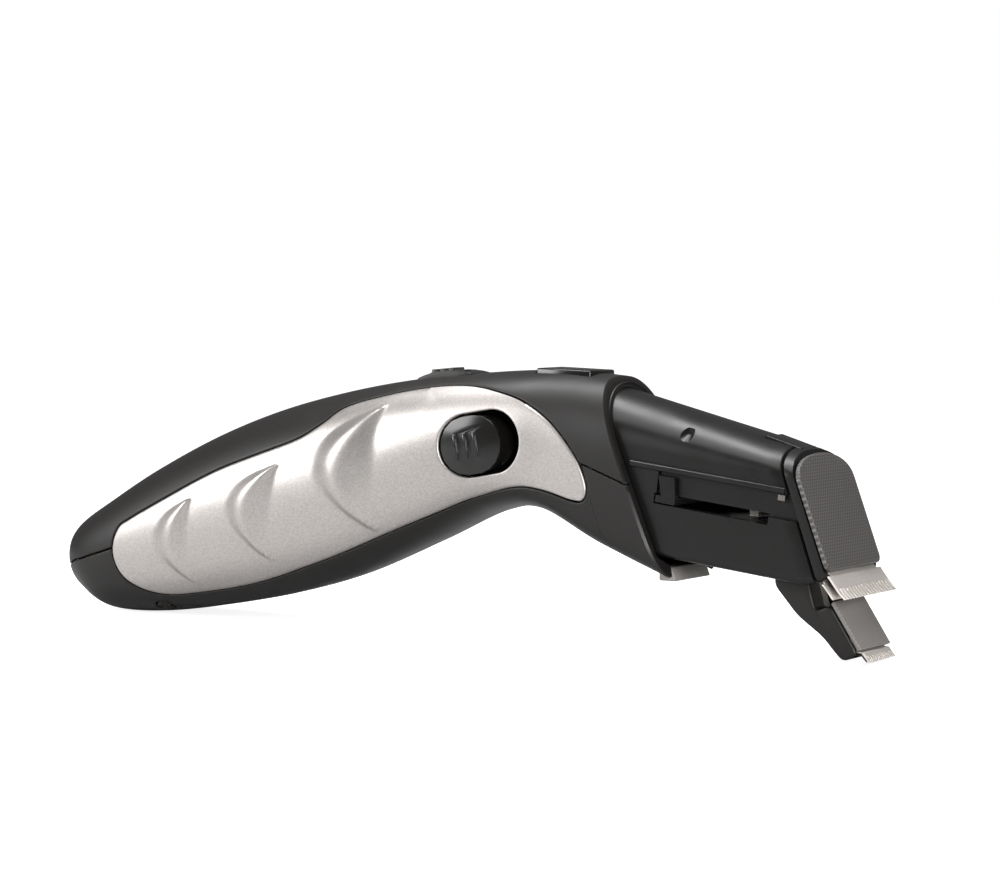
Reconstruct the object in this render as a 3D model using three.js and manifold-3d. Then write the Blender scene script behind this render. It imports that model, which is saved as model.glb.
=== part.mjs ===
// Cordless body trimmer with a comb rail head and a fold-out detail trimmer.
// Millimetres, +Z up, +X from the heel towards the blades, +Y across the grip.
// The trimmer lies on the belly side of its heel and on the tip of the detail trimmer.
import * as THREE from "three";
import { mergeVertices } from "three/addons/utils/BufferGeometryUtils.js";
import Module from "manifold-3d";

const wasm = await Module();
wasm.setup();

// ---- Driving dimensions ----
const HANDLE_LENGTH = 128.5; // heel to the top of the collar, along X
const HANDLE_DEPTH = 51.8; // table to the highest point of the spine
const HANDLE_HALF_WIDTH = 15; // widest half-width of the grip without its finger ridges
const SHELL_WALL = 3.4; // outside of the grip to the cavity, panel pocket included
const COLLAR_WALL = 2.2; // front wall of the collar
const PANEL_THICKNESS = 1.6;
const GAP = 0.3; // clearance between pieces that touch or that slide past each other

const HEAD_REACH = 48.3; // top of the collar to the foot of the faceplate, along X
const HEAD_FALL = 33.3; // the same, downwards
const HEAD_HALF_WIDTH = 11;
const HEAD_REAR_HALF_WIDTH = 10.4;
const HEAD_WALL = 2.2;
const FACEPLATE_THICKNESS = 0.9;
const RAIL_SLOPE = -7.2; // degrees, the direction that a comb slides along the head

const BLADE_INSET = 0.35; // side of the head to the side of the blade
const BLADE_HALF_WIDTH = HEAD_HALF_WIDTH - BLADE_INSET;
const BLADE_SHEET = 0.45; // sheet thickness of the blades
const TOOTH_PITCH = 1.22;
const TOOTH_GAP = 0.55;
const TOOTH_GAPS = Math.floor((2 * BLADE_HALF_WIDTH - TOOTH_GAP) / TOOTH_PITCH);

const TRIMMER_HALF_WIDTH = 6.25; // detail trimmer
const TRIMMER_TOOTH_PITCH = 0.8;
const TRIMMER_TOOTH_GAPS = 13;
const HINGE_PIN_RADIUS = 1;

const CELL_RADIUS = 5.25;
const CELL_LENGTH = 44.5;
const MOTOR_RADIUS = 5;
const MOTOR_LENGTH = 19;
const CAM_THROW = 0.6; // eccentricity of the motor's drive pin
const CAM_PIN_RADIUS = 0.7;
const BLADE_STROKE = 0.65; // each way

const SWITCH_TRAVEL = 3.2;
const SWITCH_TILT = 10; // degrees, rise of the power switch towards the head
const SWITCH_OPENING = { half: 8.65, radius: 6 };
const THUMB_PIECE = { half: 6.75, radius: 5.5 };
const SETTING_TRAVEL = 2.5;
const BUTTON_TRAVEL = 0.8;
const RELEASE_TRAVEL = 1.2;

const HEEL_SCREW_Y = 6.2;
const BOSS_RADIUS = 2.2;
const SCREW_RADIUS = 1.1;
const SCREW_HEAD_RADIUS = 1.9;

// Stations of the grip from heel to collar. Each row holds the spine point and the belly point
// (X as a share of the handle's length, Z as a share of its depth), the half-width as a share of
// the widest, and how square the section is towards the spine and towards the belly.
const STATIONS = [
  [0.0, 0.282, 0.0, 0.158, 0.333, 2.2, 2.2],
  [0.0054, 0.336, 0.007, 0.112, 0.533, 2.2, 2.2],
  [0.025, 0.384, 0.03, 0.062, 0.693, 2.2, 2.2],
  [0.072, 0.454, 0.0755, 0.01, 0.827, 2.2, 2.2],
  [0.165, 0.585, 0.173, 0.0135, 0.92, 2.2, 2.2],
  [0.282, 0.722, 0.297, 0.058, 0.973, 2.2, 2.2],
  [0.398, 0.826, 0.422, 0.12, 1.0, 2.2, 2.2],
  [0.515, 0.9, 0.546, 0.2085, 1.0, 2.2, 2.2],
  [0.632, 0.952, 0.679, 0.3475, 0.973, 2.3, 2.3],
  [0.749, 0.983, 0.795, 0.475, 0.92, 2.4, 2.5],
  [0.85, 1.0, 0.889, 0.494, 0.867, 2.5, 3.0],
  [0.928, 1.0, 0.998, 0.3785, 0.847, 2.6, 4.0],
  [1.0, 0.985, 1.117, 0.268, 0.86, 2.7, 5.0],
];
const LAST = STATIONS.length - 1;

// Outline of a side panel as [station, height across the section from -1 belly to 1 spine].
const PANEL_OUTLINE = [
  [3.61, 0.02], [3.72, 0.29], [3.96, 0.35], [4.6, 0.42], [5.37, 0.5], [6.15, 0.53], [6.71, 0.57],
  [7.06, 0.67], [7.35, 0.79], [7.89, 0.83], [8.6, 0.85], [9.25, 0.81], [9.87, 0.68], [10.34, 0.56],
  [10.81, 0.38], [11.14, 0.08], [11.22, -0.22], [11.1, -0.42], [10.9, -0.49], [10.53, -0.54],
  [10.09, -0.62], [9.38, -0.74], [8.7, -0.77], [8.0, -0.75], [7.33, -0.75], [6.62, -0.77],
  [5.84, -0.81], [5.09, -0.81], [4.36, -0.76], [3.91, -0.57], [3.69, -0.32],
];

// Finger ridges: crescents that bulge towards the heel and fall off steeply towards the head.
// "at" is the middle of the crease; outer, crest and crease are how far each arc bulges.
const RIDGES = [
  { at: [4.96, -0.19], half: 8.8, lean: 4, outer: 10, crest: 4.3, crease: 1, height: 1.3 },
  { at: [6.3, -0.14], half: 9.8, lean: 8, outer: 12.1, crest: 6.4, crease: 1, height: 1.6 },
  { at: [7.84, -0.02], half: 12.4, lean: 4, outer: 15.5, crest: 8.4, crease: 1.3, height: 2 },
];

const rad = THREE.MathUtils.degToRad;

// ---- Materials ----
const finish = (color, roughness, metalness = 0) =>
  new THREE.MeshStandardMaterial({ color, roughness, metalness });
const SHELL_BLACK = finish(0x2a2725, 0.45);
const PANEL_SILVER = finish(0xc3bebb, 0.35, 0.6);
const GLOSS_BLACK = finish(0x131211, 0.2);
const HEAD_BLACK = finish(0x1a1817, 0.3);
const PLATE_GREY = finish(0x605d5b, 0.6);
const BUTTON_GREY = finish(0x8d8884, 0.5);
const STEEL = finish(0xc9c0ba, 0.3, 1);
const BRASS = finish(0xc9a24a, 0.35, 1);
const BOARD_GREEN = finish(0x1f5a34, 0.5);
const CELL_SLEEVE = finish(0x3c6fa8, 0.4);
const NYLON = finish(0xd9d5cb, 0.55);
const LEAD_RED = finish(0xa12a22, 0.5);
const LEAD_BLACK = finish(0x1b1b1b, 0.5);

const root = new THREE.Group();

// ---- Solids ----
function solid(geometry) {
  const bare = geometry.index ? geometry.clone() : geometry;
  bare.deleteAttribute("normal");
  bare.deleteAttribute("uv");
  const merged = mergeVertices(bare, 1e-4);
  return new wasm.Manifold(
    new wasm.Mesh({
      numProp: 3,
      vertProperties: merged.attributes.position.array,
      triVerts: new Uint32Array(merged.index.array),
    }),
  );
}

function addPiece(name, body, material) {
  const { vertProperties, triVerts } = body.getMesh();
  const geometry = new THREE.BufferGeometry();
  geometry.setAttribute("position", new THREE.BufferAttribute(new Float32Array(vertProperties), 3));
  geometry.setIndex(new THREE.BufferAttribute(new Uint32Array(triVerts), 1));
  geometry.computeVertexNormals();
  const mesh = new THREE.Mesh(geometry, material);
  mesh.name = name;
  root.add(mesh);
}

// Points in the side plane are [x, z]. These work on them.
const plus = (p, dx, dz) => [p[0] + dx, p[1] + dz];
const mix = (a, b, share) => [a[0] + (b[0] - a[0]) * share, a[1] + (b[1] - a[1]) * share];
const apart = (a, b) => Math.hypot(b[0] - a[0], b[1] - a[1]);
// A local side-plane frame: "along" and "out" measured from an origin that is turned by an angle.
function sideFrame(origin, degrees) {
  const c = Math.cos(rad(degrees));
  const s = Math.sin(rad(degrees));
  return (along, out) => [origin[0] + along * c - out * s, origin[1] + along * s + out * c];
}

// A flat outline in the side plane, extruded across from y0 to y1.
function sidePrism(points, y0, y1) {
  const shape = new THREE.Shape(points.map(([x, z]) => new THREE.Vector2(x, z)));
  const geometry = new THREE.ExtrudeGeometry(shape, { depth: y1 - y0, bevelEnabled: false });
  geometry.rotateX(Math.PI / 2);
  geometry.translate(0, y1, 0);
  return solid(geometry);
}

// A box in a side frame, from (a0, b0) to (a1, b1) and across from y0 to y1.
const frameBox = (frame, a0, b0, a1, b1, y0, y1) =>
  sidePrism([frame(a0, b0), frame(a1, b0), frame(a1, b1), frame(a0, b1)], y0, y1);

// A cylinder or cone between two points [x, y, z].
function rod(from, to, radius, endRadius = radius, sides = 16) {
  const a = new THREE.Vector3(...from);
  const b = new THREE.Vector3(...to);
  const geometry = new THREE.CylinderGeometry(endRadius, radius, a.distanceTo(b), sides);
  const turn = new THREE.Quaternion().setFromUnitVectors(
    new THREE.Vector3(0, 1, 0),
    b.clone().sub(a).normalize(),
  );
  geometry.applyQuaternion(turn);
  geometry.translate(...a.add(b).multiplyScalar(0.5).toArray());
  return solid(geometry);
}

// A coil spring standing on a base point along +Z, or along +Y.
function coil(base, radius, wire, height, turns, axis = "z") {
  const points = [];
  const steps = turns * 8;
  for (let i = 0; i <= steps; i++) {
    const angle = (i / 8) * 2 * Math.PI;
    const u = radius * Math.cos(angle);
    const v = radius * Math.sin(angle);
    const w = (height * i) / steps;
    const [x, y, z] = axis === "z" ? [u, v, w] : [u, w, v];
    points.push(new THREE.Vector3(base[0] + x, base[1] + y, base[2] + z));
  }
  return tube(points, wire, steps, 5);
}

function tube(points, radius, steps, sides) {
  const shape = new THREE.Shape();
  for (let i = 0; i < sides; i++) {
    const angle = (i / sides) * 2 * Math.PI;
    const [x, y] = [radius * Math.cos(angle), radius * Math.sin(angle)];
    if (i === 0) shape.moveTo(x, y);
    else shape.lineTo(x, y);
  }
  const path = new THREE.CatmullRomCurve3(points);
  return solid(new THREE.ExtrudeGeometry(shape, { steps, extrudePath: path, bevelEnabled: false }));
}

// A closed skin over rings of equal point counts, with flat fans at both ends.
function loft(rings) {
  const count = rings[0].length;
  const positions = rings.flat().flatMap((p) => [p.x, p.y, p.z]);
  const index = [];
  for (let r = 0; r + 1 < rings.length; r++) {
    for (let i = 0; i < count; i++) {
      const a = r * count + i;
      const b = r * count + ((i + 1) % count);
      index.push(a, b + count, b, a, a + count, b + count);
    }
  }
  [0, rings.length - 1].forEach((r, end) => {
    const middle = rings[r].reduce((s, p) => s.add(p), new THREE.Vector3()).divideScalar(count);
    const hub = positions.length / 3;
    positions.push(middle.x, middle.y, middle.z);
    for (let i = 0; i < count; i++) {
      const a = r * count + i;
      const b = r * count + ((i + 1) % count);
      index.push(hub, end ? b : a, end ? a : b);
    }
  });
  const geometry = new THREE.BufferGeometry();
  geometry.setAttribute("position", new THREE.Float32BufferAttribute(positions, 3));
  geometry.setIndex(index);
  return solid(geometry);
}

// ---- Grip surface ----
// Catmull-Rom interpolation of the stations, in millimetres.
function station(t) {
  const i = Math.min(Math.max(Math.floor(t), 0), LAST - 1);
  const f = t - i;
  const [p1, p2] = [STATIONS[i], STATIONS[i + 1]];
  const p0 = STATIONS[i - 1] ?? p1.map((v, k) => 2 * v - p2[k]);
  const p3 = STATIONS[i + 2] ?? p2.map((v, k) => 2 * v - p1[k]);
  const [sx, sz, bx, bz, w, nt, nb] = p1.map((v, k) => {
    const slope = p2[k] - p0[k];
    const bend = 2 * p0[k] - 5 * v + 4 * p2[k] - p3[k];
    const twist = 3 * v - p0[k] - 3 * p2[k] + p3[k];
    return 0.5 * (2 * v + slope * f + bend * f * f + twist * f * f * f);
  });
  return {
    spine: [sx * HANDLE_LENGTH, sz * HANDLE_DEPTH],
    belly: [bx * HANDLE_LENGTH, bz * HANDLE_DEPTH],
    halfWidth: w * HANDLE_HALF_WIDTH,
    squareTop: nt,
    squareBelly: nb,
  };
}

// The side-plane point at a station, at a height across the section from -1 (belly) to 1 (spine).
function gripPoint(t, height) {
  const s = station(t);
  return mix(s.belly, s.spine, (height + 1) / 2);
}

// How far the ridges lift the panel at a side-plane point.
function ridgeLift(x, z) {
  let lift = 0;
  for (const ridge of RIDGES) {
    const [cx, cz] = gripPoint(...ridge.at);
    const across = sideFrame([cx, cz], -ridge.lean);
    const [ux, uz] = [x - cx, z - cz];
    const [ox, oz] = plus(across(1, 0), -cx, -cz);
    const along = ux * ox + uz * oz;
    const up = (uz * ox - ux * oz) / ridge.half;
    const bulge = Math.max(0, 1 - up * up);
    const crest = -ridge.crest * bulge;
    const edge = along < crest ? -ridge.outer * bulge : 0;
    const share = (along - edge) / (crest - edge || 1);
    if (bulge > 0 && share > 0 && share < 2) {
      const s = Math.min(Math.max(share > 1 ? 0 : share, 0), 1);
      lift += ridge.height * Math.sqrt(bulge) * s * s * (3 - 2 * s);
    }
  }
  return lift;
}

// One ring of the grip: a superellipse about the chord from belly to spine, drawn in by an inset.
function gripRing(t, inset, count, ridged = false) {
  const s = station(t);
  const centre = mix(s.belly, s.spine, 0.5);
  const half = apart(s.belly, s.spine) / 2;
  const depth = (half - inset) / half;
  const ring = [];
  for (let i = 0; i < count; i++) {
    const angle = (i / count) * 2 * Math.PI;
    const n = Math.sin(angle) > 0 ? s.squareTop : s.squareBelly;
    const power = (v) => Math.sign(v) * Math.abs(v) ** (2 / n);
    const height = power(Math.sin(angle)) * depth;
    const [x, z] = mix(centre, s.spine, height);
    let y = power(Math.cos(angle)) * (s.halfWidth - inset);
    if (ridged) y += Math.sign(Math.round(y * 1e6)) * ridgeLift(x, z);
    ring.push(new THREE.Vector3(x, -y, z));
  }
  return ring;
}

function gripSolid(from, to, perStation, inset, count, ridged) {
  const steps = Math.round((to - from) * perStation);
  const rings = [];
  for (let i = 0; i <= steps; i++)
    rings.push(gripRing(from + ((to - from) * i) / steps, inset, count, ridged));
  return loft(rings);
}

// A closed outline moved outwards by a distance.
function grow(points, distance) {
  return points.map((p, i) => {
    const a = points[(i + points.length - 1) % points.length];
    const b = points[(i + 1) % points.length];
    const length = apart(a, b);
    return plus(p, (-(b[1] - a[1]) / length) * distance, ((b[0] - a[0]) / length) * distance);
  });
}

// A slot outline with round ends in a side frame. "half" is half its full length.
function slotOutline(frame, half, radius) {
  const points = [];
  for (const side of [1, -1]) {
    for (let i = 0; i <= 8; i++) {
      const angle = -Math.PI / 2 + (i / 8) * Math.PI;
      const along = half - radius + radius * Math.cos(angle);
      points.push(frame(side * along, side * radius * Math.sin(angle)));
    }
  }
  return points;
}

const CAVITY_FROM = 1.6; // station
const PANEL_CORE_FROM = 2; // station
const collarDepth = apart(gripPoint(LAST - 1, 0), gripPoint(LAST, 0));
const CAVITY_TO = LAST - COLLAR_WALL / collarDepth;
const SWITCH_AT = gripPoint(9.41, -0.03);
const switchFrame = sideFrame(SWITCH_AT, SWITCH_TILT);
const SWITCH_RIM = 0.8; // width of the tray's rim around the opening
const switchSection = station(9.41);
const switchFace = switchSection.halfWidth; // |Y| of the panel's face at the power switch
const sectionHalf = apart(switchSection.belly, switchSection.spine) / 2;
const rimShare = (SWITCH_OPENING.radius + SWITCH_RIM + GAP) / sectionHalf;
const rimFace = switchFace * (1 - rimShare ** switchSection.squareTop) ** (1 / switchSection.squareTop);
const TRAY_SETBACK = 0.3; // extra room between the panel and the tray's rim
const trayFace = rimFace - PANEL_THICKNESS - GAP - TRAY_SETBACK;
const TRAY_DEPTH = 2.8;
const BOARD_SWITCH_HEIGHT = 1.8;
const TRAY_FLOOR = 1;
const BOARD_CLEARANCE = 5.6; // end of the cell to the rear edge of the board

// ---- Head frame ----
const collarTop = gripPoint(LAST, 1);
const collarFoot = gripPoint(LAST, -1);
const plateFoot = plus(collarTop, HEAD_REACH, -HEAD_FALL);
const plateTop = plus(plateFoot, -7.4, 20.3);
const HINGE = plus(plateFoot, -9.6, 0.8); // pivot of the detail trimmer
const railDirection = sideFrame([0, 0], RAIL_SLOPE)(1, 0);

// Side lines of the head: [share of the way from the collar to the face, top point, bottom point].
const HEAD_LINES = [
  [0, plus(collarTop, 1.2, -2.3), plus(collarTop, 14, -32.7)],
  [0.84, plus(plateFoot, -13.6, 22.2), plus(plateFoot, -5.4, -2.9)],
  [0.93, plus(plateFoot, -10, 21.2), plus(plateFoot, -1.9, -2.1)],
  [1, plateTop, plateFoot],
];
const SEAM_SHARE = 0.9; // where the removable blade head starts
const motorFront = plus(plateFoot, -21.95, 14.32 + MOTOR_RADIUS / 2);
const motorRear = sideFrame(motorFront, RAIL_SLOPE)(-MOTOR_LENGTH, 0);
const motorFrame = sideFrame(motorRear, RAIL_SLOPE);
const CRADLE = { foot: MOTOR_RADIUS + 0.9, half: 6.6 };

function headLine(share) {
  const k = share < HEAD_LINES[1][0] ? 0 : share < HEAD_LINES[2][0] ? 1 : 2;
  const [from, to] = [HEAD_LINES[k], HEAD_LINES[k + 1]];
  const f = (share - from[0]) / (to[0] - from[0]);
  return { top: mix(from[1], to[1], f), foot: mix(from[2], to[2], f) };
}

// One ring of the head: flat sides and an arched top, drawn in by an inset.
function headRing(share, inset) {
  const { top, foot } = headLine(share);
  const height = apart(foot, top);
  const s = Math.min(Math.max(share, 0), 1);
  const halfWidth = HEAD_REAR_HALF_WIDTH + (HEAD_HALF_WIDTH - HEAD_REAR_HALF_WIDTH) * s - inset;
  const arch = 11 + (5.2 - 11) * s - inset / 2;
  const square = 2 + 0.2 * s;
  const corner = Math.max(1.4 - inset / 2, 0.3);
  const half = [[halfWidth - corner, inset], [halfWidth, inset + corner]];
  for (let i = 0; i <= 6; i++) {
    const angle = (i / 7) * (Math.PI / 2);
    const across = halfWidth * Math.cos(angle) ** (2 / square);
    half.push([across, height - inset - arch + arch * Math.sin(angle) ** (2 / square)]);
  }
  const outline = [...half, [0, height - inset], ...half.map(([y, v]) => [-y, v]).reverse()];
  return outline.map(([y, v]) => {
    const [x, z] = mix(foot, top, v / height);
    return new THREE.Vector3(x, -y, z);
  });
}

const headSolid = (shares, inset) => loft(shares.map((share) => headRing(share, inset)));
const HEAD_ROOT = -0.09; // the housing reaches this share back into the collar

// Frame of the faceplate: along its foot downwards, and out of its front face.
const plateLean = THREE.MathUtils.radToDeg(
  Math.atan2(plateFoot[1] - plateTop[1], plateFoot[0] - plateTop[0]),
);
const plateFrame = sideFrame(plateFoot, plateLean);
const onPlate = (points) => points.map(([down, out]) => plateFrame(down, out));

// ---- Grip pieces ----
const panelOutline = (() => {
  const corners = PANEL_OUTLINE.map(([t, height]) => new THREE.Vector2(...gripPoint(t, height)));
  corners.push(corners[0]);
  return new THREE.SplineCurve(corners).getPoints(46).slice(0, -1).map((p) => [p.x, p.y]);
})();

const screwSpots = () => {
  const heel = gripPoint(HEEL_SCREW_AT, -1);
  const neck = gripPoint(9.55, -1);
  return [
    { name: "heel_screw_left", x: heel[0], y: -HEEL_SCREW_Y },
    { name: "heel_screw_right", x: heel[0], y: HEEL_SCREW_Y },
    { name: "neck_screw", x: neck[0], y: 0 },
  ];
};

// Z of the grip's outside on the belly or spine side, straight below or above a point.
function skinHeight(x, y, side) {
  let best = null;
  for (let t = 0; t <= LAST; t += 0.02) {
    const s = station(t);
    const n = side > 0 ? s.squareTop : s.squareBelly;
    const share = Math.min(Math.abs(y) / s.halfWidth, 1);
    const height = side * (1 - share ** n) ** (1 / n);
    const [px, pz] = gripPoint(t, height);
    if (!best || Math.abs(px - x) < Math.abs(best[0] - x)) best = [px, pz];
  }
  return best[1];
}

function buildShells() {
  const outer = gripSolid(0, LAST, 2, 0, 28);
  const cavity = gripSolid(CAVITY_FROM, CAVITY_TO, 1, SHELL_WALL, 20);
  const pocket = sidePrism(grow(panelOutline, GAP), -30, 30).subtract(
    gripSolid(PANEL_CORE_FROM, LAST, 1, PANEL_THICKNESS + GAP, 20),
  );
  const headHole = headSolid([-0.2, 0, 0.5], -GAP);
  const { half, radius } = SWITCH_OPENING;
  const aroundTray = SWITCH_RIM + GAP;
  const trayHole = sidePrism(
    slotOutline(switchFrame, half + aroundTray, radius + aroundTray),
    -30,
    -trayFace + TRAY_DEPTH + GAP,
  );
  let body = outer.subtract(cavity).subtract(pocket).subtract(headHole).subtract(trayHole);
  body = body.subtract(spinePockets()).subtract(heelPockets()).subtract(releaseHole());
  // The seam runs a little below the middle of the section.
  const seam = [[-1, -0.4], [0.76, -0.4], [2.2, -0.05]];
  for (let t = 3; t <= LAST; t++) seam.push([t, t < LAST ? 0.03 : -0.05]);
  const line = seam.map(([t, h]) => (t < 0 ? plus(gripPoint(0, h), -5, 0) : gripPoint(t, h)));
  line.push(plus(line[line.length - 1], 12, 0));
  const high = [line[line.length - 1][0], 90];
  const low = [line[line.length - 1][0], -40];
  const up = sidePrism([...line.map((p) => plus(p, 0, GAP / 2)), high, [line[0][0], 90]], -40, 40);
  const down = sidePrism([...line.map((p) => plus(p, 0, -GAP / 2)), low, [line[0][0], -40]], -40, 40);
  let spine = body.intersect(up);
  let belly = body.intersect(down);
  for (const spot of screwSpots()) {
    const under = skinHeight(spot.x, spot.y, -1);
    const over = skinHeight(spot.x, spot.y, 1);
    const foot = under + SHELL_WALL + GAP;
    const boss = rod([spot.x, spot.y, foot], [spot.x, spot.y, over - 2.6], BOSS_RADIUS, BOSS_RADIUS, 12);
    const bore = rod([spot.x, spot.y, -5], [spot.x, spot.y, foot + 8], SCREW_RADIUS + GAP, undefined, 10);
    const sink = rod([spot.x, spot.y, -5], [spot.x, spot.y, under + 1.6], SCREW_HEAD_RADIUS + GAP);
    spine = spine.add(boss.subtract(pocket)).subtract(bore);
    belly = belly.subtract(boss.translate([0, 0, -0.01])).subtract(bore).subtract(sink);
    addPiece(spot.name, buildScrew(spot, under, foot), STEEL);
  }
  addPiece("spine_shell", largest(spine), SHELL_BLACK);
  addPiece("belly_shell", largest(belly), SHELL_BLACK);
}

// The main body of a cut solid, without crumbs.
function largest(body) {
  const parts = body.decompose();
  return parts.reduce((a, b) => (b.volume() > a.volume() ? b : a));
}

function buildScrew({ x, y }, under, foot) {
  const top = under + 1.6 - GAP;
  const head = rod([x, y, top - 1.1], [x, y, top], SCREW_HEAD_RADIUS);
  const shank = rod([x, y, top - 0.5], [x, y, foot + 6], SCREW_RADIUS, SCREW_RADIUS, 10);
  const drive = rod([x, y, top - 2], [x, y, top - 0.6], 0.8, 0.8, 6);
  return head.add(shank).subtract(drive);
}

function buildPanels() {
  const skin = gripSolid(2.5, LAST, 4, 0, 40, true);
  const core = gripSolid(PANEL_CORE_FROM, LAST, 1, PANEL_THICKNESS, 20);
  const opening = sidePrism(slotOutline(switchFrame, SWITCH_OPENING.half, SWITCH_OPENING.radius), -30, 0);
  const left = skin.intersect(sidePrism(panelOutline, -30, -2)).subtract(core);
  const right = skin.intersect(sidePrism(panelOutline, 2, 30)).subtract(core);
  addPiece("panel_left", largest(left.subtract(opening)), PANEL_SILVER);
  addPiece("panel_right", largest(right), PANEL_SILVER);
}

// The cell lies just ahead of the heel's screw bosses, along the middle of the grip.
const HEEL_SCREW_AT = 4.17; // station
const CONTACT_SHEET = 0.4;
const batterySlope = (() => {
  const [a, b] = [gripPoint(5.2, -0.02), gripPoint(6.7, -0.02)];
  return THREE.MathUtils.radToDeg(Math.atan2(b[1] - a[1], b[0] - a[0]));
})();
const batteryRear = [gripPoint(HEEL_SCREW_AT, -1)[0] + BOSS_RADIUS + 1.6, 0];
const batteryFrame = (() => {
  const reach = CELL_LENGTH / 2 + CELL_RADIUS * Math.sin(rad(batterySlope));
  const x = batteryRear[0] + reach * Math.cos(rad(batterySlope));
  const [a, b] = [gripPoint(5.2, -0.02), gripPoint(6.7, -0.02)];
  return sideFrame([x, a[1] + ((x - a[0]) * (b[1] - a[1])) / (b[0] - a[0])], batterySlope);
})();

// ---- Power switch ----
function buildPowerSwitch() {
  const { half, radius } = SWITCH_OPENING;
  const rim = slotOutline(switchFrame, half + SWITCH_RIM, radius + SWITCH_RIM);
  const well = slotOutline(switchFrame, half, radius);
  const back = -trayFace + TRAY_DEPTH;
  const rest = -(half - THUMB_PIECE.half - GAP);
  const stemFrom = rest - 2.5 - GAP;
  const stemTo = rest + 2.5 + SWITCH_TRAVEL + GAP;
  const stemSlot = frameBox(switchFrame, stemFrom, -1.5, stemTo, 1.5, -20, 0);
  const tray = sidePrism(rim, -trayFace, back)
    .subtract(sidePrism(well, -30, back - TRAY_FLOOR))
    .subtract(stemSlot);
  addPiece("switch_tray", tray, GLOSS_BLACK);

  const thumbFrame = sideFrame(switchFrame(rest, 0), SWITCH_TILT);
  const thumb = slotOutline(thumbFrame, THUMB_PIECE.half, THUMB_PIECE.radius);
  let slider = sidePrism(thumb, -switchFace - 0.2, back - TRAY_FLOOR - GAP)
    .add(frameBox(thumbFrame, -2.5, -1.2, 2.5, 1.2, back - TRAY_FLOOR - 1, back + 1.4));
  for (let i = -1; i <= 1; i++) {
    const at = i * 2.2 - 1;
    const ribTop = -switchFace - 0.6;
    slider = slider.add(frameBox(thumbFrame, at - 0.35, -2.3, at + 0.35, 2.3, ribTop, -switchFace));
  }
  addPiece("power_slider", slider, GLOSS_BLACK);

  // Circuit board on edge behind the tray, with the sliding switch that the stem works.
  const boardFace = back + 1.4 + GAP + BOARD_SWITCH_HEIGHT;
  const cellEnd = batteryFrame(CELL_LENGTH / 2, 0);
  const [dx, dz] = [cellEnd[0] - SWITCH_AT[0], cellEnd[1] - SWITCH_AT[1]];
  const boardRear = dx * Math.cos(rad(SWITCH_TILT)) + dz * Math.sin(rad(SWITCH_TILT)) + BOARD_CLEARANCE;
  const board = frameBox(switchFrame, boardRear, -7, 9, 5, boardFace, boardFace + 1.2);
  addPiece("circuit_board", board, BOARD_GREEN);
  const canFoot = boardFace - GAP;
  const canEnd = rest + 4 + SWITCH_TRAVEL;
  const can = frameBox(switchFrame, rest - 4, -2.6, canEnd, 2.6, back + 1.4 + GAP, canFoot);
  addPiece("board_switch", can, STEEL);
  return { board: boardFace };
}

// ---- Controls on the spine ----
const spineFrame = (t) => {
  const [a, b] = [gripPoint(t - 0.1, 1), gripPoint(t + 0.1, 1)];
  const slope = THREE.MathUtils.radToDeg(Math.atan2(b[1] - a[1], b[0] - a[0]));
  return sideFrame(gripPoint(t, 1), slope);
};
const SETTING = { frame: spineFrame(8.62), half: 6.2, width: 3.6, sink: 1.6 };
const LOCK = { frame: spineFrame(10.88), half: 5.9, width: 4.6, sink: 1.9, proud: 0.35 };

function spinePockets() {
  const { frame, half, width, sink } = SETTING;
  const setting = frameBox(frame, -half - GAP, -sink - GAP, half + GAP, 5, -width - GAP, width + GAP);
  const stem = frameBox(frame, -2.2, -8, 2.2, 1, -1.4, 1.4);
  const lock = frameBox(LOCK.frame, -LOCK.half - GAP, -LOCK.sink - BUTTON_TRAVEL - GAP, LOCK.half + GAP, 5,
    -LOCK.width - GAP, LOCK.width + GAP);
  const lockStem = frameBox(LOCK.frame, -1.6 - GAP, -8, 1.6 + GAP, 1, -1.6 - GAP, 1.6 + GAP);
  return setting.add(stem).add(lock).add(lockStem);
}

function buildSpineControls() {
  const { frame, half, width, sink } = SETTING;
  const well = frameBox(frame, -4.4, -0.4, 4.4, 5, -2.5, 2.5);
  const arc = [];
  for (let i = 0; i <= 8; i++) {
    const share = -1 + i / 4;
    arc.push(frame(-share * half, 1 * (1 - share * share) + 0.05));
  }
  const bezel = sidePrism([frame(-half, -sink), frame(half, -sink), ...arc], -width, width).subtract(well);
  addPiece("setting_bezel", bezel, SHELL_BLACK);
  let knob = frameBox(frame, -4.1, -0.1, -4.1 + 8.2 - SETTING_TRAVEL, 0.9, -2.2, 2.2);
  for (let i = 0; i < 3; i++) {
    const at = -3.2 + i * 1.95;
    knob = knob.add(frameBox(frame, at - 0.5, 0.8, at + 0.5, 1.5, -2.2, 2.2));
  }
  addPiece("setting_knob", knob, BUTTON_GREY);

  const lock = LOCK.frame;
  const button = frameBox(lock, -LOCK.half, -LOCK.sink, LOCK.half, LOCK.proud, -LOCK.width, LOCK.width)
    .add(frameBox(lock, -1.6, -5, 1.6, -LOCK.sink + 0.5, -1.6, 1.6));
  addPiece("comb_lock_button", button, GLOSS_BLACK);
  const [sx, sz] = lock(0, -5 - GAP - 4.4);
  addPiece("comb_lock_spring", coil([sx, 0, sz], 1.2, 0.2, 4, 4), STEEL);
}

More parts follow.
